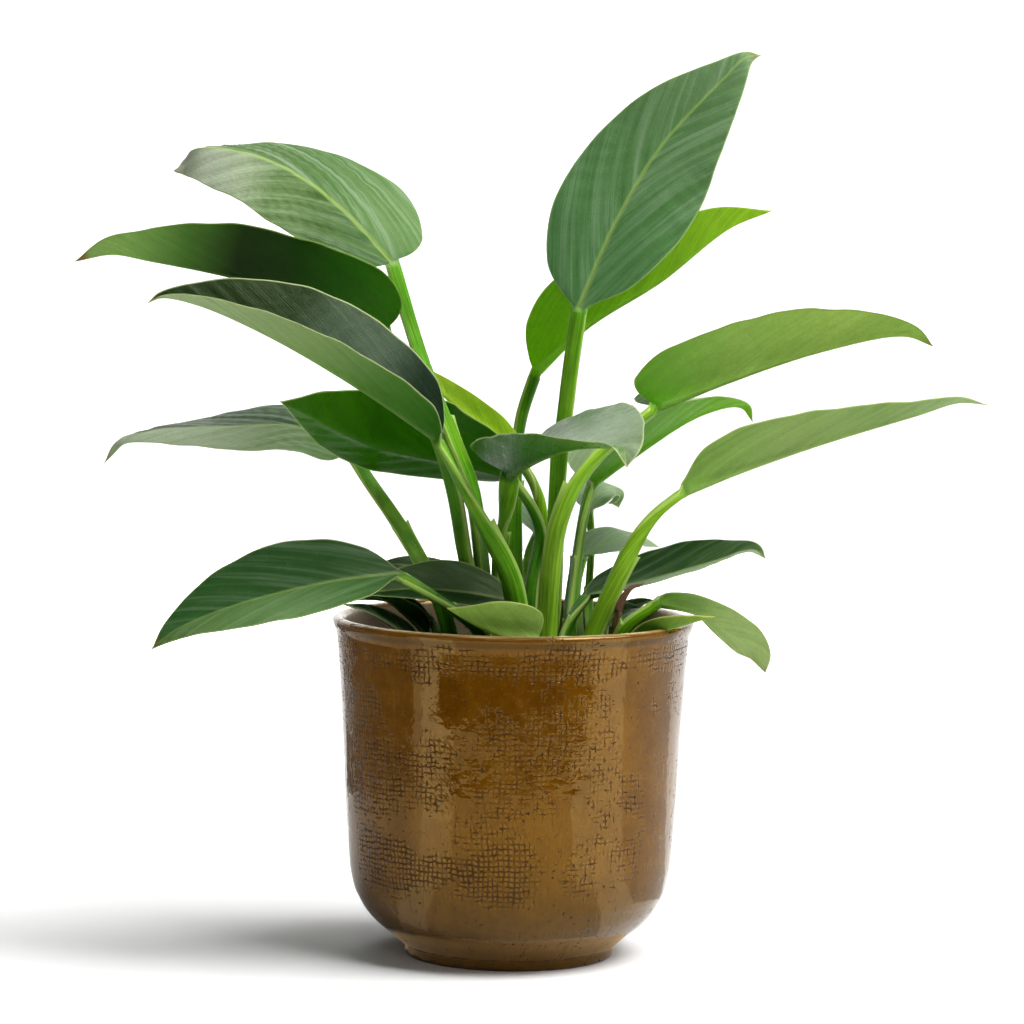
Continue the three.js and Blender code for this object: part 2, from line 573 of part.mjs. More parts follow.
// A crown with a socket for the foot of each of its leafstalks
function crown(name) {
  const { centre, radius, top } = CROWNS[name]
  const bottom = SOIL_TOP - CROWN_SINK
  let stem = toSolid(turned([
    [0, bottom], [radius * CROWN_CORE, bottom], [radius, bottom + CROWN_TAPER],
    [radius, top - CROWN_SHOULDER], [radius * CROWN_CORE, top], [0, top]
  ], CROWN_SEGMENTS, ...centre))
  for (const leaf of Object.values(LEAVES).filter(candidate => candidate.crown === name)) {
    const sections = stalkSections(leaf, SOCKET_GAP, SOCKET_STEPS)
    const foot = sections[0]
    const deeper = foot.points.map(point => point.clone().addScaledVector(foot.along, -SOCKET_GAP))
    const reach = Math.max(2, sections.findIndex(section => section.distance > SOCKET_DEPTH) + 1)
    const socket = [{ ...foot, points: deeper }, ...sections.slice(1, reach)]
    stem = stem.subtract(toSolid(solidOverRows(rowsOver(socket))))
  }
  return toGeometry(stem)
}

const materials = {
  glaze: { color: 0x6b4a34, roughness: 0.35, metalness: 0 },
  plastic: { color: 0x2c2f2e, roughness: 0.6, metalness: 0 },
  soil: { color: 0x33261d, roughness: 0.95, metalness: 0 },
  stem: { color: 0x6f8f45, roughness: 0.6, metalness: 0 },
  leaf: { color: 0x4f7f36, roughness: 0.45, metalness: 0 },
  lime: { color: 0x93b44a, roughness: 0.45, metalness: 0 },
  dry: { color: 0x8a6238, roughness: 0.8, metalness: 0 }
}

const group = new THREE.Group()
group.name = 'potted_philodendron'

function addPiece(name, geometry, material) {
  const merged = geometry.index ? geometry : mergeVertices(geometry, WELD)
  merged.computeVertexNormals()
  const mesh = new THREE.Mesh(merged, new THREE.MeshStandardMaterial(materials[material]))
  mesh.name = name
  group.add(mesh)
}

addPiece('cover_pot', toGeometry(toSolid(coverPot())), 'glaze')
addPiece('grow_pot', growPot(), 'plastic')
addPiece('soil', soil(), 'soil')
for (const name of Object.keys(CROWNS)) {
  addPiece(name, crown(name), 'stem')
}
for (const [name, leaf] of Object.entries(LEAVES)) {
  addPiece(name, leafGeometry(leaf), leaf.tone)
}

export default group
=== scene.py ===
import math

import bpy
import numpy as np
from mathutils import Matrix, Vector


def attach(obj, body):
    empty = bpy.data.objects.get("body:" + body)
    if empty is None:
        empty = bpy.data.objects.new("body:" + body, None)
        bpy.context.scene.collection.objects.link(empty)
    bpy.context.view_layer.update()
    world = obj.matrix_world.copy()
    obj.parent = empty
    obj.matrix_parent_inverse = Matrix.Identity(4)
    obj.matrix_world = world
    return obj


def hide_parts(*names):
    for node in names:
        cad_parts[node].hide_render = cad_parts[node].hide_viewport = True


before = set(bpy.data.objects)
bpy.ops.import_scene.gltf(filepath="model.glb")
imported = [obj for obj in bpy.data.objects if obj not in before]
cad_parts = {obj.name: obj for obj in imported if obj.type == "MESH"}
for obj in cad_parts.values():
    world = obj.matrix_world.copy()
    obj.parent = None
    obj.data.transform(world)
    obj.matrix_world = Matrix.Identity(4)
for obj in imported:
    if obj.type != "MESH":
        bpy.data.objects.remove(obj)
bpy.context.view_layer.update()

# Lengths in the tables below are in mm, as in the CAD, and the meshes are in metres
MM = 0.001
BODY = "root"
SEED = 11

# Camera, worked out from the pot's outline in the photograph
CAMERA_PLACE = (0.0, -1.6815, 0.3191)
CAMERA_PITCH = math.radians(-4.994)
CAMERA_ROLL = math.radians(0.786)
CAMERA_YAW = math.radians(-0.036)
CAMERA_LENS = 153.6
CAMERA_SENSOR = 36

# Blades: shares of the rib's length and powers of the outline's roundings, as in the CAD
BASE_ROUNDING = 2.2
TIP_ROUNDING = 1.75
TAPER_FALL = 4
LOBE_REACH = 0.09
LOBE_SPREAD = 1.5
LOBE_FALL = 1.2
CUP_REACH = 0.22
HALF_WAVES = 3
WAVE_SHIFT = 0.8
FLAT_CURL = 1e-3
KEEL_FALL = 1.3

# Leafstalks, as in the CAD
STALK_STOP = 3.2
STALK_TURN = 1.5
STALK_FULLNESS = 0.95
STALK_CHANNEL = 0.6
CHANNEL_LEVEL = 0.3
SHEATH_CHANNEL = 0.32
SHEATH_EDGE = 30
SHEATH_SHARE = 0.45
SHEATH_NARROWING = 0.6

CROWNS = {
    "crown_main": dict(centre=(6, -4), radius=16, top=117),
    "crown_right": dict(centre=(33, -8), radius=9.5, top=114),
    "crown_left": dict(centre=(-20, 2), radius=9.5, top=114),
    "crown_front": dict(centre=(13, -34), radius=5.5, top=111),
}

LARGE_LEAF = dict(
    crown="crown_main", cup=20, curl=0, lobe=5, widest=0.34, base_width=0.6, taper=0.35, rounded=0.1,
    wide=[11, 5], thick=[5, 4], sheath=0.62, keel=2.2, wave=0, tone="leaf", fine="large"
)
SMALL_LEAF = dict(
    LARGE_LEAF, cup=0, lobe=-1, base_width=0.3, wide=[5, 4], thick=[3.6, 3], keel=1.4,
    fine="small"
)

# Values of a leaf that may differ left and right of the rib, and are pairs then
SIDED = ("half", "fold", "fold_tip", "cup", "curl", "lobe", "widest", "base_width", "taper", "rounded")

# Every leaf: stalk points from the crown up, base where the blade starts, rib points out to the tip,
# direction of the upper side, half width of the blade, fold and curl in degrees; wide and thick are those of
# the stalk, at the crown and at the blade
LEAVES = {
    "leaf_top_right": dict(
        LARGE_LEAF,
        stalk=[[13.5, 8.5, 108], [16, 5.5, 137], [17, 4, 184], [20, 4, 219]], base=[24, 4, 252],
        rib=[[38, 8, 285], [55, 12, 314], [78, 14, 339.5], [87, 16, 348.3], [93, 20, 349.3]],
        up=[-0.25, -0.93, 0.25], half=27, fold=10, cup=0, curl=-20,
        wide=[7, 6.5], wave=1.5, lobe=[0, -3], widest=[0.34, 0.42], base_width=[0.4, 0.3], taper=[0.45, 0.35]
    ),
    "leaf_behind_top": dict(
        LARGE_LEAF, tone="lime",
        stalk=[[2.5, 10.5, 108], [0, 26, 151], [0, 38, 184], [2, 40, 205]], base=[8, 38, 225],
        rib=[[27, 38, 243], [56, 40, 261], [83, 42, 282], [100, 44, 289]],
        up=[-0.2, 0.6, 0.85], half=25, fold=[35, 30], cup=[20, 40],
        wide=[6.5, 5.5], lobe=-2, widest=0.42, base_width=0.4
    ),
    "leaf_right_upper": dict(
        LARGE_LEAF,
        stalk=[[14.2, -17, 107], [14, -14, 136], [18, -14, 171], [29, -12, 192]], base=[54, -6, 214],
        rib=[[80, 0, 224], [117, 4, 236], [150, 6, 242], [161, 8, 238]],
        up=[-0.2, 0.38, 0.92], half=24, fold=[22, 30], fold_tip=30, cup=[30, 35],
        wide=[9, 7], widest=0.42, taper=0.1, lobe=13, base_width=0.75,
        rounded=0.13
    ),
    "leaf_right_middle": dict(
        LARGE_LEAF, crown="crown_right",
        stalk=[[26, -13, 107], [30, -14, 126], [43, -14, 156], [54, -12, 173]], base=[65, -8, 182],
        rib=[[85, -6, 190], [117, -4, 201], [154, -2, 212], [171, 0, 217], [182, 2, 216]],
        up=[-0.2, 0.25, 0.95], half=22, fold=[20, 24], fold_tip=[20, 16], cup=[20, 40],
        wide=[9, 6], lobe=-3, base_width=0.3
    ),
    "leaf_front": dict(
        LARGE_LEAF,
        stalk=[[-1, 1, 111], [-6, 5, 147], [-4, -4, 170]], base=[-2, -18, 188],
        rib=[[7, -48, 196], [21, -80, 203], [33, -100, 205], [39, -112, 205], [40, -118, 199]],
        up=[0.15, -0.1, 1], half=[32, 20], fold=[43, 22], fold_tip=[30, 5], cup=[20, 12],
        wide=[7, 8], lobe=[6, 4], widest=0.5, taper=0.1, base_width=[0.7, 0.98], rounded=[0.05, 0.04]
    ),
    "leaf_behind_right": dict(
        LARGE_LEAF,
        stalk=[[19, 0, 108], [21, 4, 122], [23, 16, 141], [27, 20, 170]], base=[30, 24, 182],
        rib=[[44, 34, 191], [73, 44, 208], [89, 46, 211], [94, 48, 205]],
        up=[-0.1, 0.1, 0.98], half=22, fold=[30, 25], cup=[20, 35], wide=[6, 4.5], lobe=2
    ),
    "leaf_top_left": dict(
        LARGE_LEAF,
        stalk=[[-7.5, 2, 108], [-12, 6, 145], [-17, -6, 181], [-26, -9, 204], [-38, 0, 234]],
        base=[-49, 8, 268],
        rib=[
          [-64, 4, 284], [-82, -2, 299], [-99, -6, 307.5], [-114, -8, 310.5], [-123, -6, 310.5], [-127, 0, 308],
          [-124, 6, 303], [-119, 8, 297.5]
        ],
        up=[0.3, -0.65, 0.7], up_tip=[-0.3, -0.45, 0.85], half=[24, 31], fold=[-5, 8], fold_tip=-45,
        cup=[0, 5], wide=[7, 6.5], lobe=[0, 8], widest=[0.42, 0.2], base_width=[0.55, 0.82], taper=0.1,
        rounded=[0.1, 0.17]
    ),
    "leaf_left_upper": dict(
        LARGE_LEAF,
        stalk=[[-8.5, -6.5, 108], [-19, 1, 155], [-25, -6, 185], [-37, -10, 216]], base=[-51, -8.5, 242],
        rib=[[-68, -8, 250], [-103, -12, 261], [-141, -14, 268], [-155, -14, 270], [-169, -14, 267]],
        up=[0.2, 0.42, 0.9], half=26, fold=[27, 36], cup=[15, 20],
        wide=[8, 6.5], lobe=4, widest=0.45, base_width=[0.85, 0.7], taper=0.1,
        rounded=0.13
    ),
    "leaf_left_middle": dict(
        LARGE_LEAF,
        stalk=[[3, -18.5, 107], [-1, -24, 146], [-13, -26, 171], [-22, -28, 188]], base=[-30, -30, 203],
        rib=[[-56, -38, 220.5], [-91, -46, 240.5], [-119, -50, 252.5], [-133, -50, 255], [-138, -50, 253]],
        up=[0.2, -0.25, 0.92], half=[21.5, 26], fold=[42, 55], cup=15,
        wide=[9.5, 7], lobe=[-3, -4], widest=0.42, base_width=0.5
    ),
    "leaf_left_lower": dict(
        LARGE_LEAF,
        stalk=[[5, -6, 113], [7, 5, 145], [10, 12, 163], [7, 14, 172]], base=[-3, 18, 186],
        rib=[[-30, 22, 191], [-53, 12, 196], [-68, -4, 203], [-79, -20, 210], [-89, -38, 216]],
        up=[0, 0.4, 0.9], up_tip=[0, 0.85, 0.5], half=[27.5, 14], fold=[14, -10], fold_tip=[38, -10],
        cup=[15, 5], wide=[6, 4.5], lobe=3
    ),
    "leaf_young": dict(
        LARGE_LEAF, tone="lime",
        stalk=[[8, 2, 113], [9, 11, 135], [12, 19, 158], [8, 22, 180]], base=[2, 24, 190],
        rib=[[-12, 25, 202], [-30, 27, 217], [-45, 28, 231]],
        up=[0, 0.3, 0.9], half=9, fold=[50, 40], wide=[6, 4.5], lobe=0, base_width=0.4
    ),
    "leaf_far_left": dict(
        LARGE_LEAF, crown="crown_left",
        stalk=[[-21, 10, 108], [-29, 14, 136], [-46, 24, 165], [-57, 30, 180]], base=[-66, 33, 193],
        rib=[[-86, 30, 202], [-112, 26, 202], [-142, 24, 200], [-155, 24, 196], [-161, 24, 187]],
        up=[0.1, -0.3, 0.95], half=[23, 22], fold=[-5, 8], fold_tip=[0, -25], cup=0,
        wide=[6.5, 6], lobe=2
    ),
    "leaf_front_left_low": dict(
        LARGE_LEAF,
        stalk=[[-5.5, -13.5, 107], [-13, -32, 130], [-28, -41, 142]], base=[-44, -44, 152],
        rib=[[-69, -50, 149], [-105, -56, 140], [-126, -58, 131], [-135, -58, 124]],
        up=[0.1, -0.47, 0.88], half=24, fold=[12, 14], cup=0,
        wide=[8, 5.5], lobe=-3, widest=0.42, base_width=0.3, taper=0.15
    ),
    "leaf_right_low": dict(
        LARGE_LEAF,
        stalk=[[20, -7, 108], [20, -1, 126]], base=[29, 8, 140],
        rib=[[55, 4, 147], [80, 0, 155], [92, -4, 159], [97, -6, 156]],
        up=[-0.1, -0.3, 0.95], half=18, fold=[15, 17], cup=0,
        wide=[6, 5], lobe=0, widest=0.45, base_width=0.3, taper=0.1
    ),
    "leaf_over_rim_right": dict(
        LARGE_LEAF, crown="crown_right",
        stalk=[[39, -14, 107], [42, -25, 129]], base=[56, -26, 141],
        rib=[[69, -28, 138], [83, -32, 130.5], [92.5, -34, 123], [96, -34, 115.3]],
        up=[0.3, 0.5, 0.75], up_tip=[0.8, 0.5, 0.4], half=[12, 9.5], fold=[0, 20], cup=[70, 10],
        wide=[6, 5], lobe=2, widest=[0.66, 0.7], taper=0, base_width=[0.7, 0.4]
    ),
    "leaf_left_low_inner": dict(
        LARGE_LEAF,
        stalk=[[0, -9, 109], [2, -11, 124]], base=[-2, -11.5, 139],
        rib=[[-17, -17, 142], [-36, -23, 144], [-54, -29, 143], [-60, -33, 142]],
        up=[0.1, -0.45, 0.85], half=[14, 16], fold=15, cup=0, wide=[5, 4], lobe=-2,
        base_width=0.3
    ),
    "leaf_small_front": dict(
        LARGE_LEAF, tone="lime", crown="crown_front",
        stalk=[[13, -38, 107], [13, -43, 116], [12, -45.5, 122]], base=[8, -46.5, 127],
        rib=[[-1, -48, 129], [-9, -50, 132], [-16, -50, 135], [-25, -50, 140]],
        up=[0, 0.3, 0.9], half=[15, 12], fold=[45, 50], wide=[5, 4], lobe=1, widest=0.3
    ),
    "leaf_small_left_1": dict(
        SMALL_LEAF, tone="lime", crown="crown_left",
        stalk=[[-25, -5, 107], [-26, -18, 115]], base=[-34, -26, 123],
        rib=[[-43, -28, 129], [-55, -30, 136], [-65, -32, 139]],
        up=[0.3, -0.3, 0.8], half=[7, 6], fold=20
    ),
    "leaf_small_left_2": dict(
        SMALL_LEAF, tone="lime", crown="crown_left",
        stalk=[[-28, 1, 107], [-28, -7, 117]], base=[-33, -12, 126],
        rib=[[-42, -14, 134], [-49, -16, 139], [-56, -18, 141]],
        up=[0.2, -0.2, 0.9], half=[8, 7], fold=[55, 60]
    ),
    "leaf_small_left_3": dict(
        SMALL_LEAF, crown="crown_left",
        stalk=[[-26.5, 7, 107], [-28, 3, 120]], base=[-32, 0, 131],
        rib=[[-48, -6, 138], [-63, -14, 139], [-76, -20, 138]],
        up=[0.1, -0.1, 0.95], half=8, fold=[20, 30], wide=[4.5, 4]
    ),
    "leaf_left_low_back": dict(
        SMALL_LEAF, crown="crown_left",
        stalk=[[-15, 8, 107], [-14, 18, 121]], base=[-17, 29, 135],
        rib=[[-29, 30, 144], [-43, 28, 148], [-56, 26, 148]],
        up=[0.1, -0.5, 0.85], half=8, fold=10, wide=[4.5, 4]
    ),
    "leaf_small_right_1": dict(
        SMALL_LEAF, tone="lime", crown="crown_right",
        stalk=[[32.5, -16.5, 107], [36, -28, 114]], base=[42, -31, 120],
        rib=[[50, -32, 126.5], [57, -36, 131], [66, -41, 134.5], [76, -44, 137.6]],
        up=[-0.1, 0.35, 0.9], half=6.5, fold=[30, 45]
    ),
    "leaf_small_right_2": dict(
        SMALL_LEAF, crown="crown_right",
        stalk=[[39, -2, 107], [36, 7, 118]], base=[38, 10, 126],
        rib=[[44, 12, 133], [50, 14, 136], [56, 14, 137]],
        up=[-0.2, -0.45, 0.85], half=5, fold=15, wide=[4, 3], lobe=0, keel=0.8
    ),
    "leaf_small_right_3": dict(
        SMALL_LEAF, crown="crown_right",
        stalk=[[41, -8, 107], [38, -8.5, 117], [35.5, -9.5, 124]], base=[35.5, -9, 129],
        rib=[[39, -5, 133], [45, 0, 135], [51, 4, 135]],
        up=[-0.2, -0.45, 0.85], half=8, fold=15, wide=[4, 3], lobe=0, keel=0.8
    ),
    "leaf_back_1": dict(
        SMALL_LEAF, tone="lime",
        stalk=[[8, 11.5, 107], [6, 40, 134], [5, 46, 149]], base=[9, 50, 160],
        rib=[[8, 54, 164], [5, 60, 169], [2, 68, 171]],
        up=[0.2, -0.6, 0.75], half=7, fold=10, wide=[3.5, 3], lobe=0, base_width=0.4
    ),
    "leaf_back_2": dict(
        SMALL_LEAF, tone="lime", crown="crown_right",
        stalk=[[33, 0, 107], [30, 46, 133], [31, 62, 156]], base=[30, 66, 168],
        rib=[[33, 68, 173], [37, 70, 175], [40, 72, 173], [42, 73, 168]],
        up=[-0.3, -0.5, 0.8], half=9, fold=10, wide=[4, 3], lobe=0, base_width=0.4
    ),
    "leaf_back_3": dict(
        SMALL_LEAF, tone="lime", crown="crown_right",
        stalk=[[27, -2, 107], [25, 34, 139]], base=[28, 42, 152],
        rib=[[34, 46, 155], [43, 50, 157], [50, 54, 156], [58, 56, 154]],
        up=[-0.1, -0.4, 0.9], half=11, fold=10, wide=[4.5, 3], lobe=0, base_width=0.4
    ),
    "dry_sheath": dict(
        SMALL_LEAF, tone="dry", crown="crown_right",
        stalk=[[35, -12, 112], [39, -19, 130]], base=[40, -19, 136],
        rib=[[41, -19, 139], [45, -19, 145], [50, -18, 147]],
        up=[-0.6, 0.6, 0.2], half=1.7, fold=40, wide=[2.0, 2.0], lobe=0, base_width=0.8
    )
}

# Looks of each leaf: colours of the upper side and underside from the base to the tip, of the margin and
# of the stalk from its foot up, and over_right where the right side of the rib differs; roughness of upper
# side and underside; browned tip, paleness of the rib, painted sheen on the upper side, and height of the
# swells between the side veins in mm. Some leaves' colour stops paint shade, sheen or highlights, as noted
# at those leaves.
PLAIN_LOOK = dict(
    over="#2f5c26", under="#4f8a1c", margin="#b6bf7c", stalk="#4f9018",
    rough=(0.36, 0.42), tip=0.3, rib=0.7, painted_sheen=0.35, quilt=0.12
)
LOOKS = {
    "leaf_top_right": dict(
        over=["#4f8048", "#557e4a", "#668458"], under="#7a9a4a", margin="#a9c27c", stalk=["#56980f", "#66a41c"],
        rough=(0.4, 0.45), tip=0.35, rib=0.9, painted_sheen=0.5, quilt=0.22
    ),
    "leaf_behind_top": dict(
        over="#7cb01e", under=["#88d808", "#88c020", "#a2d028"], margin="#b9d45c", stalk="#468a06",
        rough=(0.4, 0.42), tip=0.1, rib=0.4, painted_sheen=0.1
    ),
    "leaf_right_upper": dict(
        over="#3c5c34", under=["#4c9208", "#98be56", "#a2c25a", "#94ba50"], margin="#8c9a48", stalk="#84b828",
        rough=(0.4, 0.28), tip=0.4, rib=0.35, painted_sheen=0.3
    ),
    "leaf_right_middle": dict(
        over="#6c8c44", under=["#84b04c", "#88a258", "#7c9850", "#9cb47a"], margin="#bccc80", stalk="#84b822",
        rough=(0.4, 0.36), tip=0.25, rib=0.5, painted_sheen=0.3, quilt=0.2
    ),
    "leaf_front": dict(
        # Painted sheen: the pale grey middle stops of the upper side stand for sheen
        over=["#3c5c38", "#6c8a5c", "#98aa8c", "#7c9068"], over_right=["#4c7430", "#648a4c", "#587c3c"],
        under=["#1f4a12", "#2c5a18", "#5a8224"], margin="#c6d09a",
        stalk=["#4c9010", "#6aa61c"], rough=(0.26, 0.3), tip=0.1, rib=0.3, painted_sheen=0.85, quilt=0.14
    ),
    "leaf_behind_right": dict(
        over=["#8fa27c", "#c0cca6"], under=["#58a00a", "#78b41c"], margin="#b4c486", stalk="#56980c",
        rough=(0.42, 0.42), tip=0.1, rib=0.3, painted_sheen=0.7, quilt=0.2
    ),
    "leaf_top_left": dict(
        # Painted sheen: the palest stops of the upper side, towards the tip, stand for a whitish sheen
        over=["#4c743a", "#44682e", "#587642", "#b4baa6", "#a8ae98"],
        over_right=["#5c8448", "#4c7036", "#587642", "#98a286"],
        under="#7f9f4a", margin="#8fa866", stalk="#549a0e", rough=(0.36, 0.45), tip=0.1, rib=1.0, painted_sheen=0.9, quilt=0.5
    ),
    "leaf_left_upper": dict(
        # Painted shadow: the dark middle stops of the underside stand for the shadow that leaf_top_left casts on it
        over="#3c5c30", under=["#3c8404", "#246404", "#123c02", "#0a2802", "#4c7a2a", "#86b056", "#8cac5c"],
        margin="#7c9840", stalk="#468a06", rough=(0.4, 0.36), tip=0.9, rib=0.15, painted_sheen=0.3
    ),
    "leaf_left_middle": dict(
        # Painted highlight: the paler third and fourth stops of the upper side stand for a silvery highlight on its
        # fold
        over=["#0c240c", "#24362a", "#566654", "#4c5c4a", "#142a12", "#0c2408", "#0c260e", "#0a260a"],
        under=["#2a6410", "#4a7a28", "#84a05c", "#9ab078", "#a0b284"],
        margin="#b9c68c", stalk="#549410", rough=(0.3, 0.38), rib=0.3, painted_sheen=0.08, quilt=0.16
    ),
    "leaf_left_lower": dict(
        over=["#4c9410", "#3c7c06", "#2a5c02"], under=["#2e6c02", "#2c6802", "#3a7804"],
        margin="#a8c46c", stalk="#367804", rough=(0.3, 0.3), tip=0.1, rib=0.1, painted_sheen=0.0
    ),
    "leaf_young": dict(
        over="#d4ee50", under=["#b8dc28", "#e0f060"], margin="#d2e070", stalk="#7cb41c",
        rough=(0.36, 0.4), tip=0.0, rib=0.2, painted_sheen=0.1
    ),
    "leaf_far_left": dict(
        # Painted light: the left half's upper side is lighter than the right half's, standing for the light that half
        # faces
        over=["#4c7434", "#7c9462", "#c4d0b2", "#b4c0a0"], over_right=["#1c4414", "#304e2a", "#4a5e42", "#6c7c60"],
        under="#6f8f4e", margin="#a3b27e", stalk="#367804", rough=(0.34, 0.45), rib=0.9, painted_sheen=0.7, quilt=0.3
    ),
    "leaf_front_left_low": dict(
        over=["#345c26", "#5a7c44", "#547436"], over_right=["#183e1a", "#20481e", "#285620"],
        under="#7b9c48", margin="#9aa86a", stalk="#367806", rough=(0.34, 0.45), tip=0.5, rib=0.5, quilt=0.14
    ),
    "leaf_right_low": dict(
        # Painted reflection: the pale stops of the right half's upper side stand for a pale reflection strip
        over=["#1a3e14", "#2c5424", "#4c6a36"], over_right=["#3c6028", "#94aa74", "#a8b88c"],
        under="#6f9342", margin="#a5b48a", stalk="#367006", rough=(0.34, 0.5), rib=0.3, painted_sheen=0.5, quilt=0.2
    ),
    "leaf_over_rim_right": dict(
        over="#7d9270", under=["#64982c", "#b0ca7c", "#b6cc84"], margin="#b8c68a", stalk="#64a40e",
        rough=(0.4, 0.42), rib=0.3, painted_sheen=0.6
    ),
    "leaf_left_low_inner": dict(
        over=["#0a2c04", "#103a06"], under="#5c8430", margin="#8fa062", stalk="#2a6404",
        rough=(0.4, 0.45), tip=0.2, rib=0.35, painted_sheen=0.08
    ),
    "leaf_small_front": dict(
        over="#c0dc80", under=["#b8d870", "#a4c858"], margin="#dde48c", stalk="#3f7c0c",
        rough=(0.4, 0.42), tip=0.0, rib=0.3, painted_sheen=0.3
    ),
    "leaf_small_left_1": dict(
        over="#1c3c1c", under="#2a4c18", margin="#a8b890", stalk="#28580c", tip=0.1, painted_sheen=0.6
    ),
    "leaf_small_left_2": dict(
        over="#1c3a14", under="#244810", margin="#93a670", stalk="#28580c", tip=0.1, painted_sheen=0.5
    ),
    "leaf_small_left_3": dict(
        over="#183614", under="#2c541a", margin="#8fa26a", stalk="#28580c", tip=0.2, painted_sheen=0.5
    ),
    "leaf_left_low_back": dict(
        over="#163412", under="#2c541a", margin="#8fa26a", stalk="#28580c", tip=0.2, painted_sheen=0.4
    ),
    "leaf_small_right_1": dict(
        over="#5c8034", under=["#4a7820", "#6c9034", "#94ac48"], margin="#d0d074", stalk="#4f9410",
        rough=(0.4, 0.42), tip=0.1, rib=0.3, painted_sheen=0.4
    ),
    "leaf_small_right_2": dict(
        over="#4c7036", under="#64883a", margin="#a8b890", stalk="#3f7c0c", rough=(0.4, 0.42), tip=0.1, painted_sheen=0.6
    ),
    "leaf_small_right_3": dict(
        over="#3c6028", under="#64883a", margin="#a8b890", stalk="#3f7c0c", rough=(0.4, 0.42), tip=0.1, painted_sheen=0.6
    ),
    "leaf_back_1": dict(
        over="#7c9678", under="#879f78", margin="#c4cfb0", stalk="#5c9428", rough=(0.45, 0.5), tip=0.0, painted_sheen=0.6
    ),
    "leaf_back_2": dict(
        over="#9cb28e", under=["#b0c49a", "#98b470"], margin="#cfdcb4", stalk="#64a028",
        rough=(0.45, 0.5), tip=0.0, painted_sheen=0.6
    ),
    "leaf_back_3": dict(
        over=["#7c9678", "#b4c4a6"], under="#a2b88e", margin="#cfdcb4", stalk="#64a028",
        rough=(0.45, 0.5), tip=0.0, painted_sheen=0.7
    ),
    "dry_sheath": dict(over="#8a6238", under="#7c5630", margin="#a37a4a", rough=(0.8, 0.8), tip=0.0),
}

# Curves and blade shape, lengths in mm
HALF_COLUMNS = {
    "large": [0, 0.012, 0.03, 0.06, 0.1, *np.linspace(0.16, 0.94, 9), 0.98, 1],
    "small": [0, 0.03, 0.08, *np.linspace(0.2, 0.92, 6), 0.97, 1],
}
ROWS = {"large": dict(stalk=64, join=6, blade=136), "small": dict(stalk=34, join=5, blade=64)}
CURVE_STEPS = 48
PHASE_STEP = 1.7
BASE_CROWDING = 1.9
BLADE_HALF = 0.32
MARGIN_HALF_THICKNESS = 0.14
LEAST_HALF = 0.15
ARRIVAL_REACH = 6
TIP_THICKNESS = 0.35
TIP_THINNING = 12
GROOVE_DEPTH = 0.3
GROOVE_HALF = 0.8
GROOVE_FALL = 0.7
KEEL_TIP_HALF = 1.1
KEEL_WIDENING = 0.9
LOBE_SHARE = 0.6
NECK_FALL = 0.025
JOIN_RUN = 0.04
JOIN_WIDTH = 3

# Ripples of the margin and swells between the side veins, in mm, full on a blade of FULL_HALF or more
FULL_HALF = 18
RIPPLE_HEIGHT = 0.22
RIPPLE_RUN = 4.1
RIPPLE_SIDE = 2.1
SMALL_RIPPLE = 0.6
SMALL_RIPPLE_RUN = 2.3
VEIN_SWEEP = 2.0
VEIN_BEND = 0.014
VEIN_WAVER = 1.6
VEIN_WAVER_TURN = 0.16
QUILT_PITCH = 14
SMALL_SWELL = 0.5
SMALL_SWELL_TURN = 3.4
CALM_RIB = 3
CALM_MARGIN = 2.5
CALM_BASE = 8

# Stalk: least half depth, and the teeth at the top of the sheath
STALK_LEAST = 0.25
AURICLE_REACH = 1.5
AURICLE_RUN = 0.14
AURICLE_RISE = 3
AURICLE_POINT = 9
AURICLE_SPREAD = 0.6
AURICLE_LEAN = 1.6
AURICLE_FULL_WIDTH = 7


def unit(vectors):
    vectors = np.asarray(vectors, float)
    return vectors / np.maximum(np.linalg.norm(vectors, axis=-1, keepdims=True), 1e-9)


def smoothstep(low, high, value):
    share = np.clip((value - low) / (high - low), 0, 1)
    return share * share * (3 - 2 * share)


def cubic_run(b, c, start, stop, u):
    """Points on the way from b to c, with the slopes at both."""
    square = 3 * c - 3 * b - 2 * start - stop
    cubic = 2 * b - 2 * c + start + stop
    return b + start * u + square * u ** 2 + cubic * u ** 3


class Curve:
    """A smooth curve through points, read by its share of the length."""

    def __init__(self, points):
        points = np.asarray(points, float)
        first = 2 * points[0] - points[1]
        last = 2 * points[-1] - points[-2]
        padded = np.vstack([first, points, last])
        stretches = []
        for a, b, c, d in zip(padded, padded[1:], padded[2:], padded[3:]):
            before, within, after = (math.sqrt(np.linalg.norm(q - p)) for p, q in ((a, b), (b, c), (c, d)))
            start = ((b - a) / before - (c - a) / (before + within) + (c - b) / within) * within
            stop = ((c - b) / within - (d - b) / (within + after) + (d - c) / after) * within
            u = np.linspace(0, 1, CURVE_STEPS, endpoint=False)[:, None]
            stretches.append(cubic_run(b, c, start, stop, u))
        self.points = np.vstack([*stretches, points[-1:]])
        steps = np.linalg.norm(np.diff(self.points, axis=0), axis=1)
        self.distance = np.concatenate([[0], np.cumsum(steps)])
        self.length = self.distance[-1]
        self.run = unit(np.gradient(self.points, self.distance, axis=0))

    def at(self, shares):
        where = np.asarray(shares) * self.length
        place = np.stack([np.interp(where, self.distance, self.points[:, k]) for k in range(3)], -1)
        along = np.stack([np.interp(where, self.distance, self.run[:, k]) for k in range(3)], -1)
        return place, unit(along)


def square_to(along, upper):
    """Upper side and right side of a curve whose upper side leans towards upper."""
    normal = unit(upper - (upper * along).sum(-1, keepdims=True) * along)
    return normal, np.cross(along, normal)


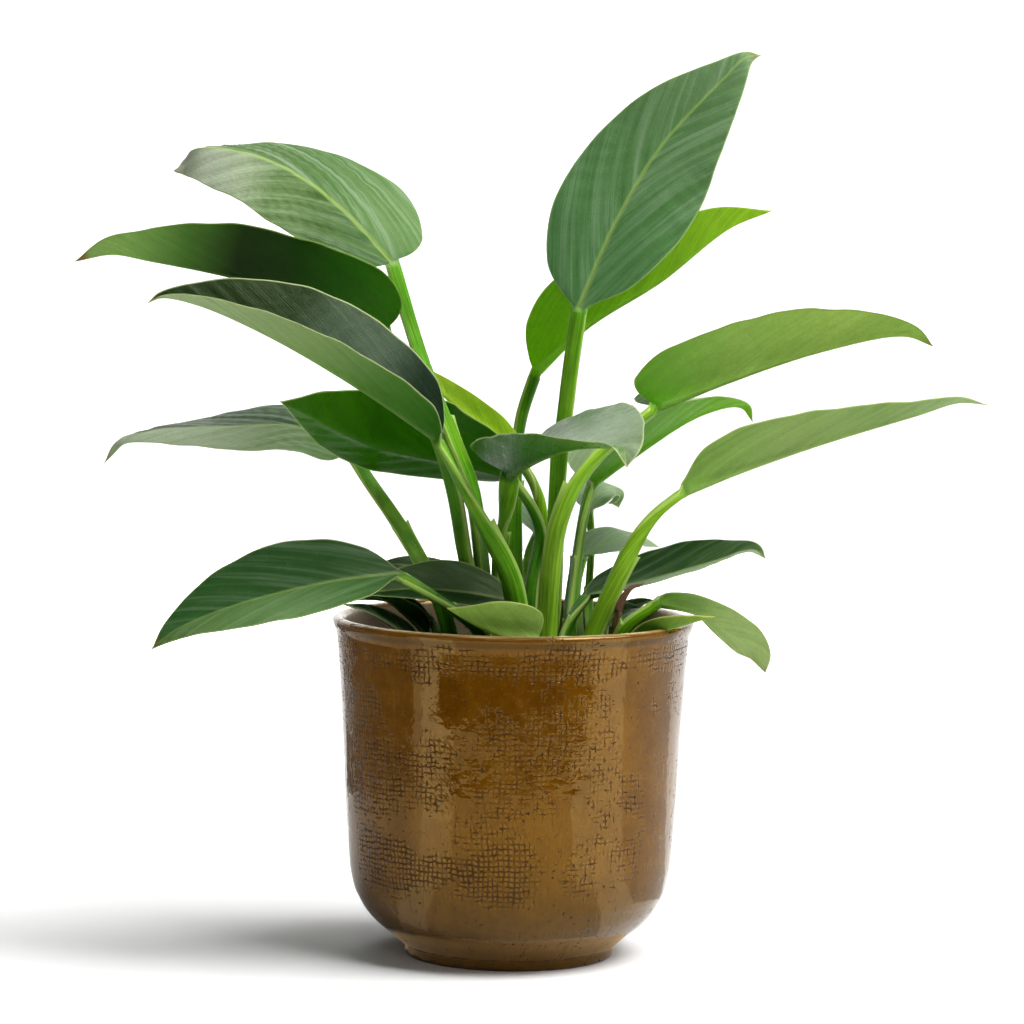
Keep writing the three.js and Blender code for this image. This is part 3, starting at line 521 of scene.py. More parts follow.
def blade_outline(s, widest, base_width, taper, rounded):
    """Half width of the blade along its rib, as a share; the base runs in a round from the stalk."""
    rising = base_width + (1 - base_width) * (1 - (1 - np.clip(s / widest, 0, 1)) ** BASE_ROUNDING)
    x = np.clip((s - widest) / (1 - widest), 0, 1)
    falling = (1 - x ** TIP_ROUNDING) * (1 - taper * x ** TAPER_FALL)
    corner = np.sqrt(1 - (1 - np.clip(s / rounded, 0, 1)) ** 2)
    return np.where(s < widest, rising, falling) * corner


def blade_stations(count):
    """Shares of the rib's length: close together at the base, where the outline turns, and at the tip."""
    u = np.linspace(0, 1, count)
    return 0.5 * u ** BASE_CROWDING + 0.25 * (1 - np.cos(math.pi * u))


def one_side(leaf, side):
    """The values of a leaf on one side of the rib."""
    own = dict(dict(fold_tip=leaf["fold"]), **leaf)
    for key in SIDED:
        if isinstance(own[key], list):
            own[key] = own[key][side]
    return own


def blade_sheet(leaf, phase, quilt):
    """Middle surface of a blade, and for each of its points what the shader has to know."""
    curve = Curve([leaf["base"], *leaf["rib"]])
    count = ROWS[leaf["fine"]]["blade"]
    s = blade_stations(count)
    centre, along = curve.at(s)
    arriving = Curve([*leaf["stalk"], leaf["base"]]).at(1.0)[1]
    turning = np.exp(-s * curve.length / ARRIVAL_REACH)[:, None]
    along = unit(along + turning * arriving)
    up = unit(leaf["up"])
    up_tip = unit(leaf.get("up_tip", leaf["up"]))
    normal, right = square_to(along, up * (1 - s[:, None]) + up_tip * s[:, None])
    half = HALF_COLUMNS[leaf["fine"]]
    columns = np.array([-t for t in half[:0:-1]] + list(half))
    points = np.zeros((count, len(columns), 3))
    lateral = np.zeros((count, len(columns)))
    margin = np.zeros((count, len(columns)))
    neck = leaf["wide"][1] / 2 * np.exp(-(s / NECK_FALL) ** 2)
    run = s * curve.length
    middle_most = np.sin(math.pi * s)
    for j, t in enumerate(columns):
        side = int(t > 0)
        own = one_side(leaf, side)
        reach = abs(t)
        share = blade_outline(s, own["widest"], own["base_width"], own["taper"], own["rounded"])
        width = np.maximum(np.hypot(own["half"] * share, neck), LEAST_HALF)
        fold = own["fold"] * (1 - s) + own["fold_tip"] * s + own["cup"] * np.exp(-s / CUP_REACH)
        fold = np.radians(fold)
        bend = math.radians(own["curl"]) or FLAT_CURL
        out = width / bend * (np.sin(fold + bend * reach) - np.sin(fold))
        waving = np.sin(HALF_WAVES * math.pi * s + WAVE_SHIFT * side) * middle_most
        lift = width / bend * (np.cos(fold) - np.cos(fold + bend * reach)) + leaf["wave"] * reach ** 2 * waving
        size = min(1, own["half"] / FULL_HALF)
        ripple = np.sin(run / RIPPLE_RUN + phase + RIPPLE_SIDE * side)
        ripple = ripple + SMALL_RIPPLE * np.sin(run / SMALL_RIPPLE_RUN + 3 * phase)
        lift = lift + RIPPLE_HEIGHT * reach ** 3 * ripple * middle_most ** 0.5 * size
        away = reach * width
        sweep = run - VEIN_SWEEP * away - VEIN_BEND * away ** 2 + VEIN_WAVER * np.sin(VEIN_WAVER_TURN * away + phase)
        swell = np.sin(2 * math.pi * sweep / QUILT_PITCH + phase)
        swell = swell + SMALL_SWELL * np.sin(SMALL_SWELL_TURN * math.pi * sweep / QUILT_PITCH)
        calm = np.clip(away / CALM_RIB, 0, 1) * np.clip((1 - reach) * width / CALM_MARGIN, 0, 1)
        lift = lift + quilt * swell * (calm * np.clip(CALM_BASE * s, 0, 1)) * size
        spread = np.clip(away / (LOBE_SHARE * own["half"]), 0, 1)
        back = own["lobe"] * spread ** LOBE_SPREAD * np.exp(-(s / LOBE_REACH) ** LOBE_FALL)
        aside = right * (np.sign(t) * out)[:, None]
        points[:, j] = centre + aside + normal * lift[:, None] - along * back[:, None]
        lateral[:, j] = t * width
        margin[:, j] = (1 - reach) * width
    return dict(
        points=points, normal=normal, s=s, lateral=lateral, margin=margin, columns=columns, length=curve.length
    )


def stalk_sections(leaf, count):
    """Middle surface and half depths of a leafstalk."""
    curve = Curve([*leaf["stalk"], leaf["base"]])
    u = np.linspace(0, 1, ROWS[leaf["fine"]]["stalk"]) * (1 - STALK_STOP / curve.length)
    centre, along = curve.at(u)
    x, y = CROWNS[leaf["crown"]]["centre"]
    inward = unit([x - leaf["stalk"][0][0], y - leaf["stalk"][0][1], 0.1])
    turn = (u ** STALK_TURN)[:, None]
    normal, right = square_to(along, inward * (1 - turn) + unit(leaf["up"]) * turn)
    sheath = 1 / (1 + np.exp((u - leaf["sheath"]) * SHEATH_EDGE))
    narrowing = np.clip(1 - u / leaf["sheath"], 0, 1) ** SHEATH_NARROWING
    spread = (1 - SHEATH_SHARE) * narrowing + SHEATH_SHARE * sheath
    width = leaf["wide"][1] + (leaf["wide"][0] - leaf["wide"][1]) * spread
    thick = leaf["thick"][0] * (1 - u) + leaf["thick"][1] * u
    channel = SHEATH_CHANNEL * sheath * width + STALK_CHANNEL * (1 - sheath)
    xi = np.sin(np.linspace(-0.5, 0.5, count) * math.pi)
    tooth = np.clip((u - leaf["sheath"]) / AURICLE_RUN + 1, 0, 1) ** AURICLE_RISE * (u < leaf["sheath"])
    largest = AURICLE_REACH * min(1, width[0] / AURICLE_FULL_WIDTH)
    flap = largest * tooth[:, None] * (np.abs(xi) ** AURICLE_POINT)[None, :]
    across = xi[None, :] * width[:, None] / 2 + np.sign(xi)[None, :] * flap * AURICLE_SPREAD
    middle = channel[:, None] * (xi ** 2 - CHANNEL_LEVEL)[None, :] + flap
    points = centre[:, None] + right[:, None] * across[..., None] + normal[:, None] * middle[..., None]
    points = points + along[:, None] * AURICLE_LEAN * flap[..., None]
    depth = np.maximum(STALK_LEAST, STALK_FULLNESS * thick[:, None] * np.sqrt(1 - xi ** 2)[None, :] / 2)
    return dict(points=points, normal=normal, depth=depth, lateral=across, u=u, length=curve.length, width=width)


def leaf_rows(leaf, phase, quilt):
    """Upper and lower points of a whole leaf, row by row from the foot of the stalk to the tip."""
    blade = blade_sheet(leaf, phase, quilt)
    stalk = stalk_sections(leaf, len(blade["columns"]))
    s = blade["s"]
    reach = np.abs(blade["columns"])
    keel = leaf["keel"] * (1 - s) ** KEEL_FALL
    keel_spread = KEEL_TIP_HALF + KEEL_WIDENING * (1 - s)
    ridge = np.exp(-(blade["lateral"] / keel_spread[:, None]) ** 2)
    thickness = MARGIN_HALF_THICKNESS + (BLADE_HALF - MARGIN_HALF_THICKNESS) * (1 - reach ** 4)[None, :]
    thickness = thickness * np.minimum(1, TIP_THICKNESS + TIP_THINNING * (1 - s))[:, None]
    groove = GROOVE_DEPTH * np.exp(-(blade["lateral"] / GROOVE_HALF) ** 2) * (1 - s)[:, None] ** GROOVE_FALL
    above = thickness - groove
    below = thickness + keel[:, None] * ridge

    join = ROWS[leaf["fine"]]["join"]
    t = np.linspace(0, 1, join + 2)[1:-1]
    first, last = stalk["points"][-1], blade["points"][0]
    bridge = np.stack([first * (1 - k) + last * k for k in t])
    mix = smoothstep(0, 1, t)[:, None]
    bridge_above = stalk["depth"][-1] * (1 - mix) + above[0] * mix
    bridge_below = stalk["depth"][-1] * (1 - mix) + below[0] * mix
    bridge_normal = unit(stalk["normal"][-1] * (1 - mix) + blade["normal"][0] * mix)

    points = np.concatenate([stalk["points"], bridge, blade["points"]])
    above = np.concatenate([stalk["depth"], bridge_above, above])
    below = np.concatenate([stalk["depth"], bridge_below, below])
    normal = np.concatenate([stalk["normal"], bridge_normal, blade["normal"]])
    stalks = len(stalk["points"])
    rows = len(points)

    run = np.gradient(points, axis=0)
    across = np.gradient(points, axis=1)
    own = unit(np.cross(across, run))
    whole = unit(own.sum(axis=1))
    broad = np.clip(np.abs(blade["lateral"][:, -1] - blade["lateral"][:, 0]) / JOIN_WIDTH, 0, 1)
    broad = np.concatenate([np.ones(rows - len(s)), broad])[:, None, None]
    free = np.concatenate([np.zeros(stalks), 0.5 * t, np.clip(0.5 + s / JOIN_RUN, 0, 1)])[:, None, None]
    square = unit(whole[:, None] * (1 - broad) + own * broad)
    square = unit(normal[:, None] * (1 - free) + square * free)

    upper = points + square * above[..., None]
    lower = points - square * below[..., None]
    along = np.concatenate([
        (stalk["u"] - 1) * stalk["length"],
        (t - 1) * STALK_STOP,
        s * blade["length"]
    ])
    lateral = np.concatenate([
        stalk["lateral"],
        stalk["lateral"][-1] * (1 - t[:, None]) + blade["lateral"][0] * t[:, None],
        blade["lateral"]
    ])
    margin = np.concatenate([
        np.maximum(0, stalk["width"][:, None] / 2 - np.abs(stalk["lateral"])),
        np.tile(blade["margin"][0], (join, 1)),
        blade["margin"]
    ])
    onto = np.concatenate([np.zeros(stalks), smoothstep(0, 1, t), np.ones(len(s))])
    progress = np.concatenate([stalk["u"], t * 0, s])
    return upper, lower, dict(along=along, lateral=lateral, margin=margin, blade=onto, progress=progress)


def colour(code):
    """Linear colour from a screen colour code."""
    parts = [int(code[k:k + 2], 16) / 255 for k in (1, 3, 5)]
    return [c / 12.92 if c <= 0.04045 else ((c + 0.055) / 1.055) ** 2.4 for c in parts]


def tones(codes, share):
    """Colour at each share of the way along a list of colours, with alpha."""
    codes = [codes] if isinstance(codes, str) else codes
    stops = np.array([[*colour(code), 1.0] for code in codes])
    where = np.linspace(0, 1, len(codes))
    return np.stack([np.interp(share, where, stops[:, k]) for k in range(4)], -1)


def put_attribute(mesh, name, kind, values):
    attribute = mesh.attributes.new(name, kind, "POINT")
    key = {"FLOAT_COLOR": "color", "FLOAT_VECTOR": "vector", "FLOAT": "value"}[kind]
    attribute.data.foreach_set(key, np.asarray(values, np.float32).ravel())


def quads(*corners):
    return np.stack(corners, -1).reshape(-1, 4)


def make_object(name, vertices, faces, material, replaces):
    """A piece of the plant from points in mm; it rides on the one body and stands for a CAD node."""
    mesh = bpy.data.meshes.new(name)
    mesh.from_pydata((np.asarray(vertices) * MM).tolist(), [], [tuple(int(i) for i in f) for f in faces])
    mesh.update()
    mesh.shade_smooth()
    mesh.materials.append(material)
    piece = bpy.data.objects.new(name, mesh)
    bpy.context.collection.objects.link(piece)
    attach(piece, BODY)
    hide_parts(replaces)
    return piece


def make_leaf(node, leaf, material, phase):
    """A leaf as one closed skin, with what the leaf shader has to know at each point."""
    look = dict(PLAIN_LOOK, **LOOKS[node])
    upper, lower, facts = leaf_rows(leaf, phase, look["quilt"])
    rows, columns = upper.shape[:2]
    vertices = np.concatenate([upper.reshape(-1, 3), lower.reshape(-1, 3)])
    top = np.arange(rows * columns).reshape(rows, columns)
    under = top + rows * columns
    faces = np.concatenate([
        quads(top[:-1, :-1], top[:-1, 1:], top[1:, 1:], top[1:, :-1]),
        quads(under[:-1, :-1], under[1:, :-1], under[1:, 1:], under[:-1, 1:]),
        quads(top[:-1, 0], top[1:, 0], under[1:, 0], under[:-1, 0]),
        quads(top[:-1, -1], under[:-1, -1], under[1:, -1], top[1:, -1]),
        quads(top[0, :-1], under[0, :-1], under[0, 1:], top[0, 1:]),
        quads(top[-1, :-1], top[-1, 1:], under[-1, 1:], under[-1, :-1])
    ])
    piece = make_object(node + "_tissue", vertices, faces, material, node)
    mesh = piece.data
    spread = np.ones((rows, columns))

    def both(values):
        """The same values for the upper and the lower points."""
        return np.concatenate([values.ravel(), values.ravel()])

    along, blade, progress = (both(facts[key][:, None] * spread) for key in ("along", "blade", "progress"))
    is_upper = np.concatenate([spread.ravel(), 0 * spread.ravel()])
    for name, values in (
        ("place", [both(facts["lateral"]), along, both(facts["margin"])]),
        ("part", [blade, is_upper, progress]),
        ("finish", [np.full(len(vertices), value) for value in (*look["rough"], look["tip"])]),
        ("character", [np.full(len(vertices), value) for value in (look["rib"], look["painted_sheen"], phase)])
    ):
        put_attribute(mesh, name, "FLOAT_VECTOR", np.stack(values, -1))
    outward = progress * blade
    to_right = smoothstep(-1, 1, both(facts["lateral"]))[:, None]
    for key in ("over", "under", "margin", "stalk"):
        share = progress if key == "stalk" else outward
        left_side = tones(look[key], share)
        right_side = tones(look.get(key + "_right", look[key]), share)
        put_attribute(mesh, key + "_tone", "FLOAT_COLOR", left_side * (1 - to_right) + right_side * to_right)


# Shaders: distance of the side veins in mm, and the linen's threads round the pot and its rows in metres
VEIN_PITCH = 7.5
LINEN_TURN = 200
LINEN_ROW = 0.002
LINEN_HALF = (0.19, 0.04)
LINEN_BREAKS = (0.4, 0.58)
LINEN_CUSHION_AND_HIGHLIGHT = (0.16, 0.4)
CREST_FOOT = (0.1262, 0.1274, 0.1284, 0.1296)
LIP_TOP_HIGHLIGHT = (0.1309, 0.1315)
PAPER_GRAIN = 0.97


class Shader:
    """Short hand for a node material."""

    def __init__(self, name):
        self.material = bpy.data.materials.new(name)
        self.material.use_nodes = True
        self.tree = self.material.node_tree
        self.tree.nodes.clear()
        self.output = self.add("ShaderNodeOutputMaterial")

    def add(self, kind, **settings):
        node = self.tree.nodes.new(kind)
        for key, value in settings.items():
            setattr(node, key, value)
        return node

    def feed(self, socket, value):
        """Links the value or sets it; a string is a colour code."""
        if isinstance(value, bpy.types.NodeSocket):
            self.tree.links.new(value, socket)
        elif isinstance(value, str):
            socket.default_value = (*colour(value), 1.0)
        else:
            socket.default_value = (*value, 1.0) if socket.type == "RGBA" else value

    def attribute(self, name, output="Fac"):
        return self.add("ShaderNodeAttribute", attribute_name=name).outputs[output]

    def numbers(self, name):
        """The three numbers that a leaf's points carry under a name."""
        return self.parts(self.attribute(name, "Vector"))

    def tone(self, key):
        """One of the colours that a leaf's points carry."""
        return self.attribute(key + "_tone", "Color")

    def parts(self, vector):
        node = self.add("ShaderNodeSeparateXYZ")
        self.feed(node.inputs[0], vector)
        return node.outputs

    def number(self, operation, *values, clamp=False):
        node = self.add("ShaderNodeMath", operation=operation, use_clamp=clamp)
        for socket, value in zip(node.inputs, values):
            self.feed(socket, value)
        return node.outputs[0]

    def plus(self, first, second):
        return self.number("ADD", first, second)

    def less(self, first, second, clamp=False):
        return self.number("SUBTRACT", first, second, clamp=clamp)

    def times(self, first, second):
        return self.number("MULTIPLY", first, second)

    def scaled(self, value, factor, base, clamp=False):
        return self.number("MULTIPLY_ADD", value, factor, base, clamp=clamp)

    def vary(self, base, noise, share):
        """base, more or less by a share of how far the noise is from its middle."""
        return self.scaled(self.less(noise, 0.5), share, base)

    def wash(self, tint, place, share, wash):
        """A tint with a share of another one where place is 1."""
        return self.mix(self.times(place, share), tint, wash)

    def step(self, value, low, high):
        """0 below low and 1 above high, smoothly; high may be below low."""
        node = self.add("ShaderNodeMapRange", interpolation_type="SMOOTHSTEP")
        ends = (high, low, 1.0, 0.0) if high < low else (low, high, 0.0, 1.0)
        for socket, number in zip(node.inputs, (value, *ends)):
            self.feed(socket, number)
        return node.outputs[0]

    def mix(self, share, first, second, mode="MIX"):
        node = self.add("ShaderNodeMix", data_type="RGBA", blend_type=mode)
        self.feed(node.inputs[0], share)
        self.feed(node.inputs[6], first)
        self.feed(node.inputs[7], second)
        return node.outputs[2]

    def mix_number(self, share, first, second):
        node = self.add("ShaderNodeMix", data_type="FLOAT")
        self.feed(node.inputs[0], share)
        self.feed(node.inputs[2], first)
        self.feed(node.inputs[3], second)
        return node.outputs[0]

    def vector(self, x, y, z):
        node = self.add("ShaderNodeCombineXYZ")
        for socket, value in zip(node.inputs, (x, y, z)):
            self.feed(socket, value)
        return node.outputs[0]

    def noise(self, vector, scale, detail=3.0, rough=0.5):
        node = self.add("ShaderNodeTexNoise")
        self.feed(node.inputs["Vector"], vector)
        self.feed(node.inputs["Scale"], scale)
        self.feed(node.inputs["Detail"], detail)
        self.feed(node.inputs["Roughness"], rough)
        return node.outputs["Fac"]

    def drawn(self, x, x_scale, y, y_scale, z, detail, rough=0.6):
        """Noise drawn out along x and y by scales of their own."""
        return self.noise(self.vector(self.times(x, x_scale), self.times(y, y_scale), z), 1.0, detail, rough)

    def blend(self, share, first, second):
        """A mix of two surfaces."""
        node = self.add("ShaderNodeMixShader")
        for socket, value in zip(node.inputs, (share, first, second)):
            self.feed(socket, value)
        return node.outputs[0]

    def here(self):
        """Place on the piece, in metres."""
        return self.add("ShaderNodeTexCoord").outputs["Object"]

    def shade(self, tint, share):
        """A colour made lighter or darker by a factor."""
        node = self.add("ShaderNodeVectorMath", operation="SCALE")
        self.feed(node.inputs[0], tint)
        self.feed(node.inputs["Scale"], share)
        return node.outputs[0]

    def bump(self, height, distance, strength=1.0, before=None):
        node = self.add("ShaderNodeBump")
        self.feed(node.inputs["Height"], height)
        self.feed(node.inputs["Distance"], distance)
        self.feed(node.inputs["Strength"], strength)
        if before is not None:
            self.feed(node.inputs["Normal"], before)
        return node.outputs[0]

    def surface(self, **values):
        node = self.add("ShaderNodeBsdfPrincipled")
        for key, value in values.items():
            self.feed(node.inputs[key.replace("_", " ")], value)
        return node.outputs[0]

    def finish(self, shader):
        self.tree.links.new(shader, self.output.inputs["Surface"])
        return self.material


def leaf_tissue():
    """Living leaf: midrib, curved side veins, painted sheen, margin and mottling on the blade, ridges on the stalk.
    """
    m = Shader("leaf_tissue")
    across, along, inset = m.numbers("place")
    blade, upper, progress = m.numbers("part")
    rough_over, rough_under, browning = m.numbers("finish")
    rib_share, painted_sheen_share, phase = m.numbers("character")
    away = m.number("ABSOLUTE", across)
    here = m.here()
    cloud = m.noise(here, 38.0, 4.0, 0.6)
    fleck = m.noise(here, 240.0, 4.0, 0.65)
    grain = m.noise(here, 1100.0, 2.0, 0.6)

    # Side veins sweep out from the midrib and bend towards the tip
    sweep = m.scaled(away, -VEIN_SWEEP, along)
    sweep = m.scaled(m.times(away, away), -VEIN_BEND, sweep)
    sweep = m.scaled(cloud, 3.0, sweep)
    side = m.scaled(m.number("SIGN", across), 3.7, phase)
    broad = m.drawn(sweep, 0.1, away, 0.03, side, 2.0, 0.5)
    streak = m.drawn(sweep, 0.3, away, 0.05, side, 4.0)
    thread = m.drawn(sweep, 1.3, away, 0.12, side, 3.0)
    coarse = m.number("PINGPONG", m.times(sweep, 1 / VEIN_PITCH), 0.5)
    vein = m.times(m.step(coarse, 0.06, 0.0), m.step(away, 0.6, 3.0))
    vein = m.times(vein, m.step(broad, 0.35, 0.65))

    rib_half = m.scaled(progress, -0.95, 1.45)
    rib = m.step(m.number("DIVIDE", away, rib_half), 1.15, 0.45)
    edge = m.step(inset, 0.75, 0.2)

    light = m.vary(1.0, streak, 0.55)
    light = m.vary(light, broad, 0.5)
    light = m.vary(light, fleck, 0.35)
    light = m.vary(light, thread, 0.3)
    light = m.scaled(vein, 0.22, light)
    light = m.vary(light, grain, 0.35)
    over = m.shade(m.tone("over"), light)
    under = m.shade(m.tone("under"), m.scaled(m.less(light, 1.0), 0.8, 1.0))

    # Painted sheen: pale streaks along the veins of the upper side stand for sheen
    painted_sheen = m.step(m.plus(m.times(streak, 0.5), m.times(broad, 0.5)), 0.42, 0.66)
    painted_sheen = m.times(painted_sheen, painted_sheen_share)
    over = m.wash(over, painted_sheen, 0.5, "#a3b19c")
    dust = m.times(m.step(grain, 0.68, 0.76), m.step(fleck, 0.5, 0.7))
    over = m.wash(over, dust, 0.25, "#c6cfc0")
    flesh = m.mix(upper, under, over)
    pale = m.mix(0.55, flesh, "#a6c266")
    green = m.mix(m.times(rib, rib_share), flesh, pale)
    green = m.mix(m.times(edge, 0.8), green, m.tone("margin"))
    dried = m.step(m.scaled(fleck, 0.05, progress), 0.965, 1.0)
    green = m.mix(m.times(dried, browning), green, "#7c4a22")

    # Stalk: pale and dark ridges along it, paler clouds, and pale edges
    ribbing = m.drawn(across, 1.1, along, 0.03, phase, 4.0)
    ridge = m.drawn(across, 5.0, along, 0.05, phase, 2.0, 0.5)
    firm = m.plus(m.times(ribbing, 0.65), m.times(ridge, 0.35))
    stalk_tone = m.tone("stalk")
    stalk = m.mix(m.step(firm, 0.36, 0.64), m.shade(stalk_tone, 0.45), m.shade(stalk_tone, 1.05))
    stalk = m.wash(stalk, m.step(cloud, 0.45, 0.7), 0.2, "#a6cf3c")
    stalk = m.wash(stalk, m.step(inset, 0.55, 0.1), 0.5, "#b9cf72")
    stalk = m.wash(stalk, dust, 0.3, "#cfe09a")
    tint = m.mix(blade, stalk, green)

    rough = m.mix_number(upper, rough_under, rough_over)
    rough = m.mix_number(blade, 0.34, rough)
    rough = m.vary(rough, streak, -0.3)
    rough = m.scaled(m.less(fleck, 0.5), 0.2, rough, clamp=True)
    height = m.scaled(vein, -0.35, m.times(thread, 0.5))
    height = m.scaled(fleck, 0.7, height)
    height = m.scaled(grain, 0.3, height)
    height = m.mix_number(blade, m.scaled(ridge, 1.6, m.times(fleck, 0.3)), height)
    bumped = m.bump(height, 0.00028, 0.8)
    body = m.surface(Base_Color=tint, Roughness=rough, Normal=bumped, Specular_IOR_Level=0.26,
                     Specular_Tint=(0.85, 1.0, 0.5))
    through = m.mix(0.25, m.shade(flesh, 1.25), "#7cc00c")
    glow = m.add("ShaderNodeBsdfTranslucent")
    m.feed(glow.inputs["Color"], m.mix(blade, stalk, through))
    m.feed(glow.inputs["Normal"], bumped)
    return m.finish(m.blend(m.scaled(blade, 0.26, 0.08), body, glow.outputs[0]))


def dry_tissue():
    """A dried sheath: brown, wrinkled lengthwise."""
    m = Shader("dry_tissue")
    across, along, _ = m.numbers("place")
    wrinkle = m.drawn(across, 3.0, along, 0.2, 0.0, 4.0)
    cloud = m.noise(m.here(), 300.0, 4.0, 0.6)
    tint = m.mix(m.step(wrinkle, 0.3, 0.7), "#3f2812", "#7c5630")
    tint = m.wash(tint, cloud, 0.5, "#3c2715")
    bumped = m.bump(wrinkle, 0.0005, 0.8)
    return m.finish(m.surface(Base_Color=tint, Roughness=0.8, Normal=bumped))


def glaze():
    """Glazed stoneware: golden brown and glossy, with clouds, specks and a linen imprint in patches; painted shade
    towards the foot and painted highlights on the linen's cells and the top of the lip.
    """
    m = Shader("brown_glaze")
    here = m.here()
    x, y, z = m.parts(here)
    cloud = m.noise(here, 26.0, 4.0, 0.6)
    mottle = m.noise(here, 110.0, 4.0, 0.6)
    speck = m.noise(here, 800.0, 3.0, 0.65)
    turn = m.number("ARCTAN2", x, m.times(y, -1.0))
    wander = m.noise(here, 60.0, 2.0, 0.5)
    drift = m.noise(here, 330.0, 2.0, 0.5)

    # Linen: threads pressed round and up the wall, broken into crosses of their own strength
    threads = m.scaled(wander, 1.6, m.times(turn, LINEN_TURN / (2 * math.pi)))
    threads = m.scaled(drift, 0.9, threads)
    rows = m.scaled(wander, -1.6, m.times(z, 1 / LINEN_ROW))
    rows = m.scaled(drift, -0.9, rows)
    warp = m.number("PINGPONG", threads, 0.5)
    weft = m.number("PINGPONG", rows, 0.5)
    crossing = m.vector(m.number("FLOOR", m.plus(threads, 0.5)), m.number("FLOOR", m.plus(rows, 0.5)), 0.0)
    own = m.add("ShaderNodeTexWhiteNoise", noise_dimensions="2D")
    m.feed(own.inputs["Vector"], crossing)
    upright = m.noise(m.vector(threads, m.times(rows, 0.3), 0.0), 1.3, 2.0, 0.5)
    level = m.noise(m.vector(m.times(threads, 0.3), rows, 5.0), 1.3, 2.0, 0.5)
    imprint = m.attribute("imprint")
    patch = m.step(m.vary(imprint, mottle, 1.0), 0.15, 0.6)
    dense = m.less(imprint, 1.0, clamp=True)
    deep = m.scaled(dense, 0.7, own.outputs["Value"])
    strong = m.times(m.step(deep, 0.15, 0.9), patch)
    upright = m.scaled(dense, 0.2, upright)
    level = m.scaled(dense, 0.2, level)
    uprights = m.times(m.step(warp, *LINEN_HALF), m.step(upright, *LINEN_BREAKS))
    levels = m.times(m.step(weft, *LINEN_HALF), m.step(level, *LINEN_BREAKS))
    mark = m.times(m.number("MAXIMUM", uprights, levels), strong)
    cushion_and_painted_highlight = m.times(m.times(m.step(warp, *LINEN_CUSHION_AND_HIGHLIGHT), m.step(weft, *LINEN_CUSHION_AND_HIGHLIGHT)), strong)
    comb = m.drawn(turn, 150.0, z, 260.0, 0.0, 4.0, 0.65)
    pinhole = m.step(m.noise(here, 520.0, 2.0, 0.5), 0.33, 0.26)
    crack = m.drawn(turn, 26.0, z, 60.0, 4.0, 2.0, 0.4)
    crack = m.times(m.step(m.number("ABSOLUTE", m.less(crack, 0.5)), 0.009, 0.002), m.step(cloud, 0.5, 0.62))
    dark = m.number("MAXIMUM", mark, m.number("MAXIMUM", pinhole, m.times(crack, 0.8)))
    foot_shade_paint = m.attribute("painted_foot_shade")

    tint = m.mix(m.step(cloud, 0.32, 0.68), "#4c2a00", "#643e02")
    tint = m.wash(tint, m.step(mottle, 0.4, 0.7), 0.3, "#744e0e")
    # Painted highlight: the raised cells of the linen are tinted lighter, standing for the highlights on them
    tint = m.wash(tint, cushion_and_painted_highlight, 0.35, "#8a6426")
    tint = m.wash(tint, m.step(comb, 0.52, 0.68), 0.12, "#7c5618")
    tint = m.wash(tint, m.step(comb, 0.46, 0.34), 0.2, "#2a1602")
    tint = m.wash(tint, m.step(speck, 0.58, 0.68), 0.12, "#9a7636")
    # Painted shade: the wall darkens towards the foot, standing for the shaded floor it reflects there
    tint = m.mix(foot_shade_paint, tint, m.mix(mottle, "#2e1e0a", "#503818"))
    crest = m.attribute("crest")
    below_crest = m.times(m.step(z, *CREST_FOOT[:2]), m.step(z, *CREST_FOOT[:1:-1]))
    tint = m.wash(tint, below_crest, 0.85, "#3c2204")
    tint = m.mix(m.times(crest, m.step(mottle, 0.2, 0.5)), tint, "#5c3a10")
    # Painted highlight: the light tan line on the very top of the lip stands for the highlight along it
    tint = m.wash(tint, m.step(z, *LIP_TOP_HIGHLIGHT), 0.7, "#a08454")
    inside = m.attribute("inside")
    tint = m.mix(inside, tint, m.mix(mottle, "#5f5042", "#857464"))
    tint = m.wash(tint, dark, 0.75, "#241300")

    rough = m.scaled(mottle, 0.05, 0.02)
    rough = m.scaled(inside, 0.45, rough, clamp=True)
    height = m.scaled(dark, -1.2, m.times(cushion_and_painted_highlight, 0.12))
    waves = m.bump(m.noise(m.vector(x, y, m.times(z, 1.2)), 190.0, 2.0, 0.5), 0.0003, 0.38)
    fine = m.bump(height, 0.0003, 0.6, waves)
    body = m.surface(Base_Color=tint, Roughness=rough, Normal=fine, IOR=1.68, Specular_Tint=(1.0, 0.72, 0.29))
    pitted = m.surface(Base_Color=tint, Roughness=0.7, Normal=fine, Specular_IOR_Level=0.1)
    return m.finish(m.blend(m.times(dark, 0.85), body, pitted))


def potting_soil():
    m = Shader("potting_soil")
    here = m.here()
    crumb = m.noise(here, 260.0, 6.0, 0.7)
    fibre = m.noise(here, 900.0, 3.0, 0.6)
    tint = m.mix(m.step(crumb, 0.35, 0.65), "#1f150e", "#4a3626")
    tint = m.wash(tint, m.step(fibre, 0.62, 0.7), 0.6, "#7a6048")
    bumped = m.bump(m.plus(crumb, m.times(fibre, 0.3)), 0.003, 1.0)
    return m.finish(m.surface(Base_Color=tint, Roughness=0.95, Normal=bumped))


def crown_tissue():
    m = Shader("crown_tissue")
    here = m.here()
    ring = m.noise(here, 180.0, 4.0, 0.6)
    cloud = m.noise(here, 60.0, 3.0, 0.5)
    tint = m.mix(m.step(ring, 0.35, 0.7), "#4f6d2c", "#8aa657")
    tint = m.wash(tint, m.step(cloud, 0.5, 0.7), 0.6, "#7a5c38")
    return m.finish(m.surface(Base_Color=tint, Roughness=0.6, Normal=m.bump(ring, 0.0015, 0.8)))


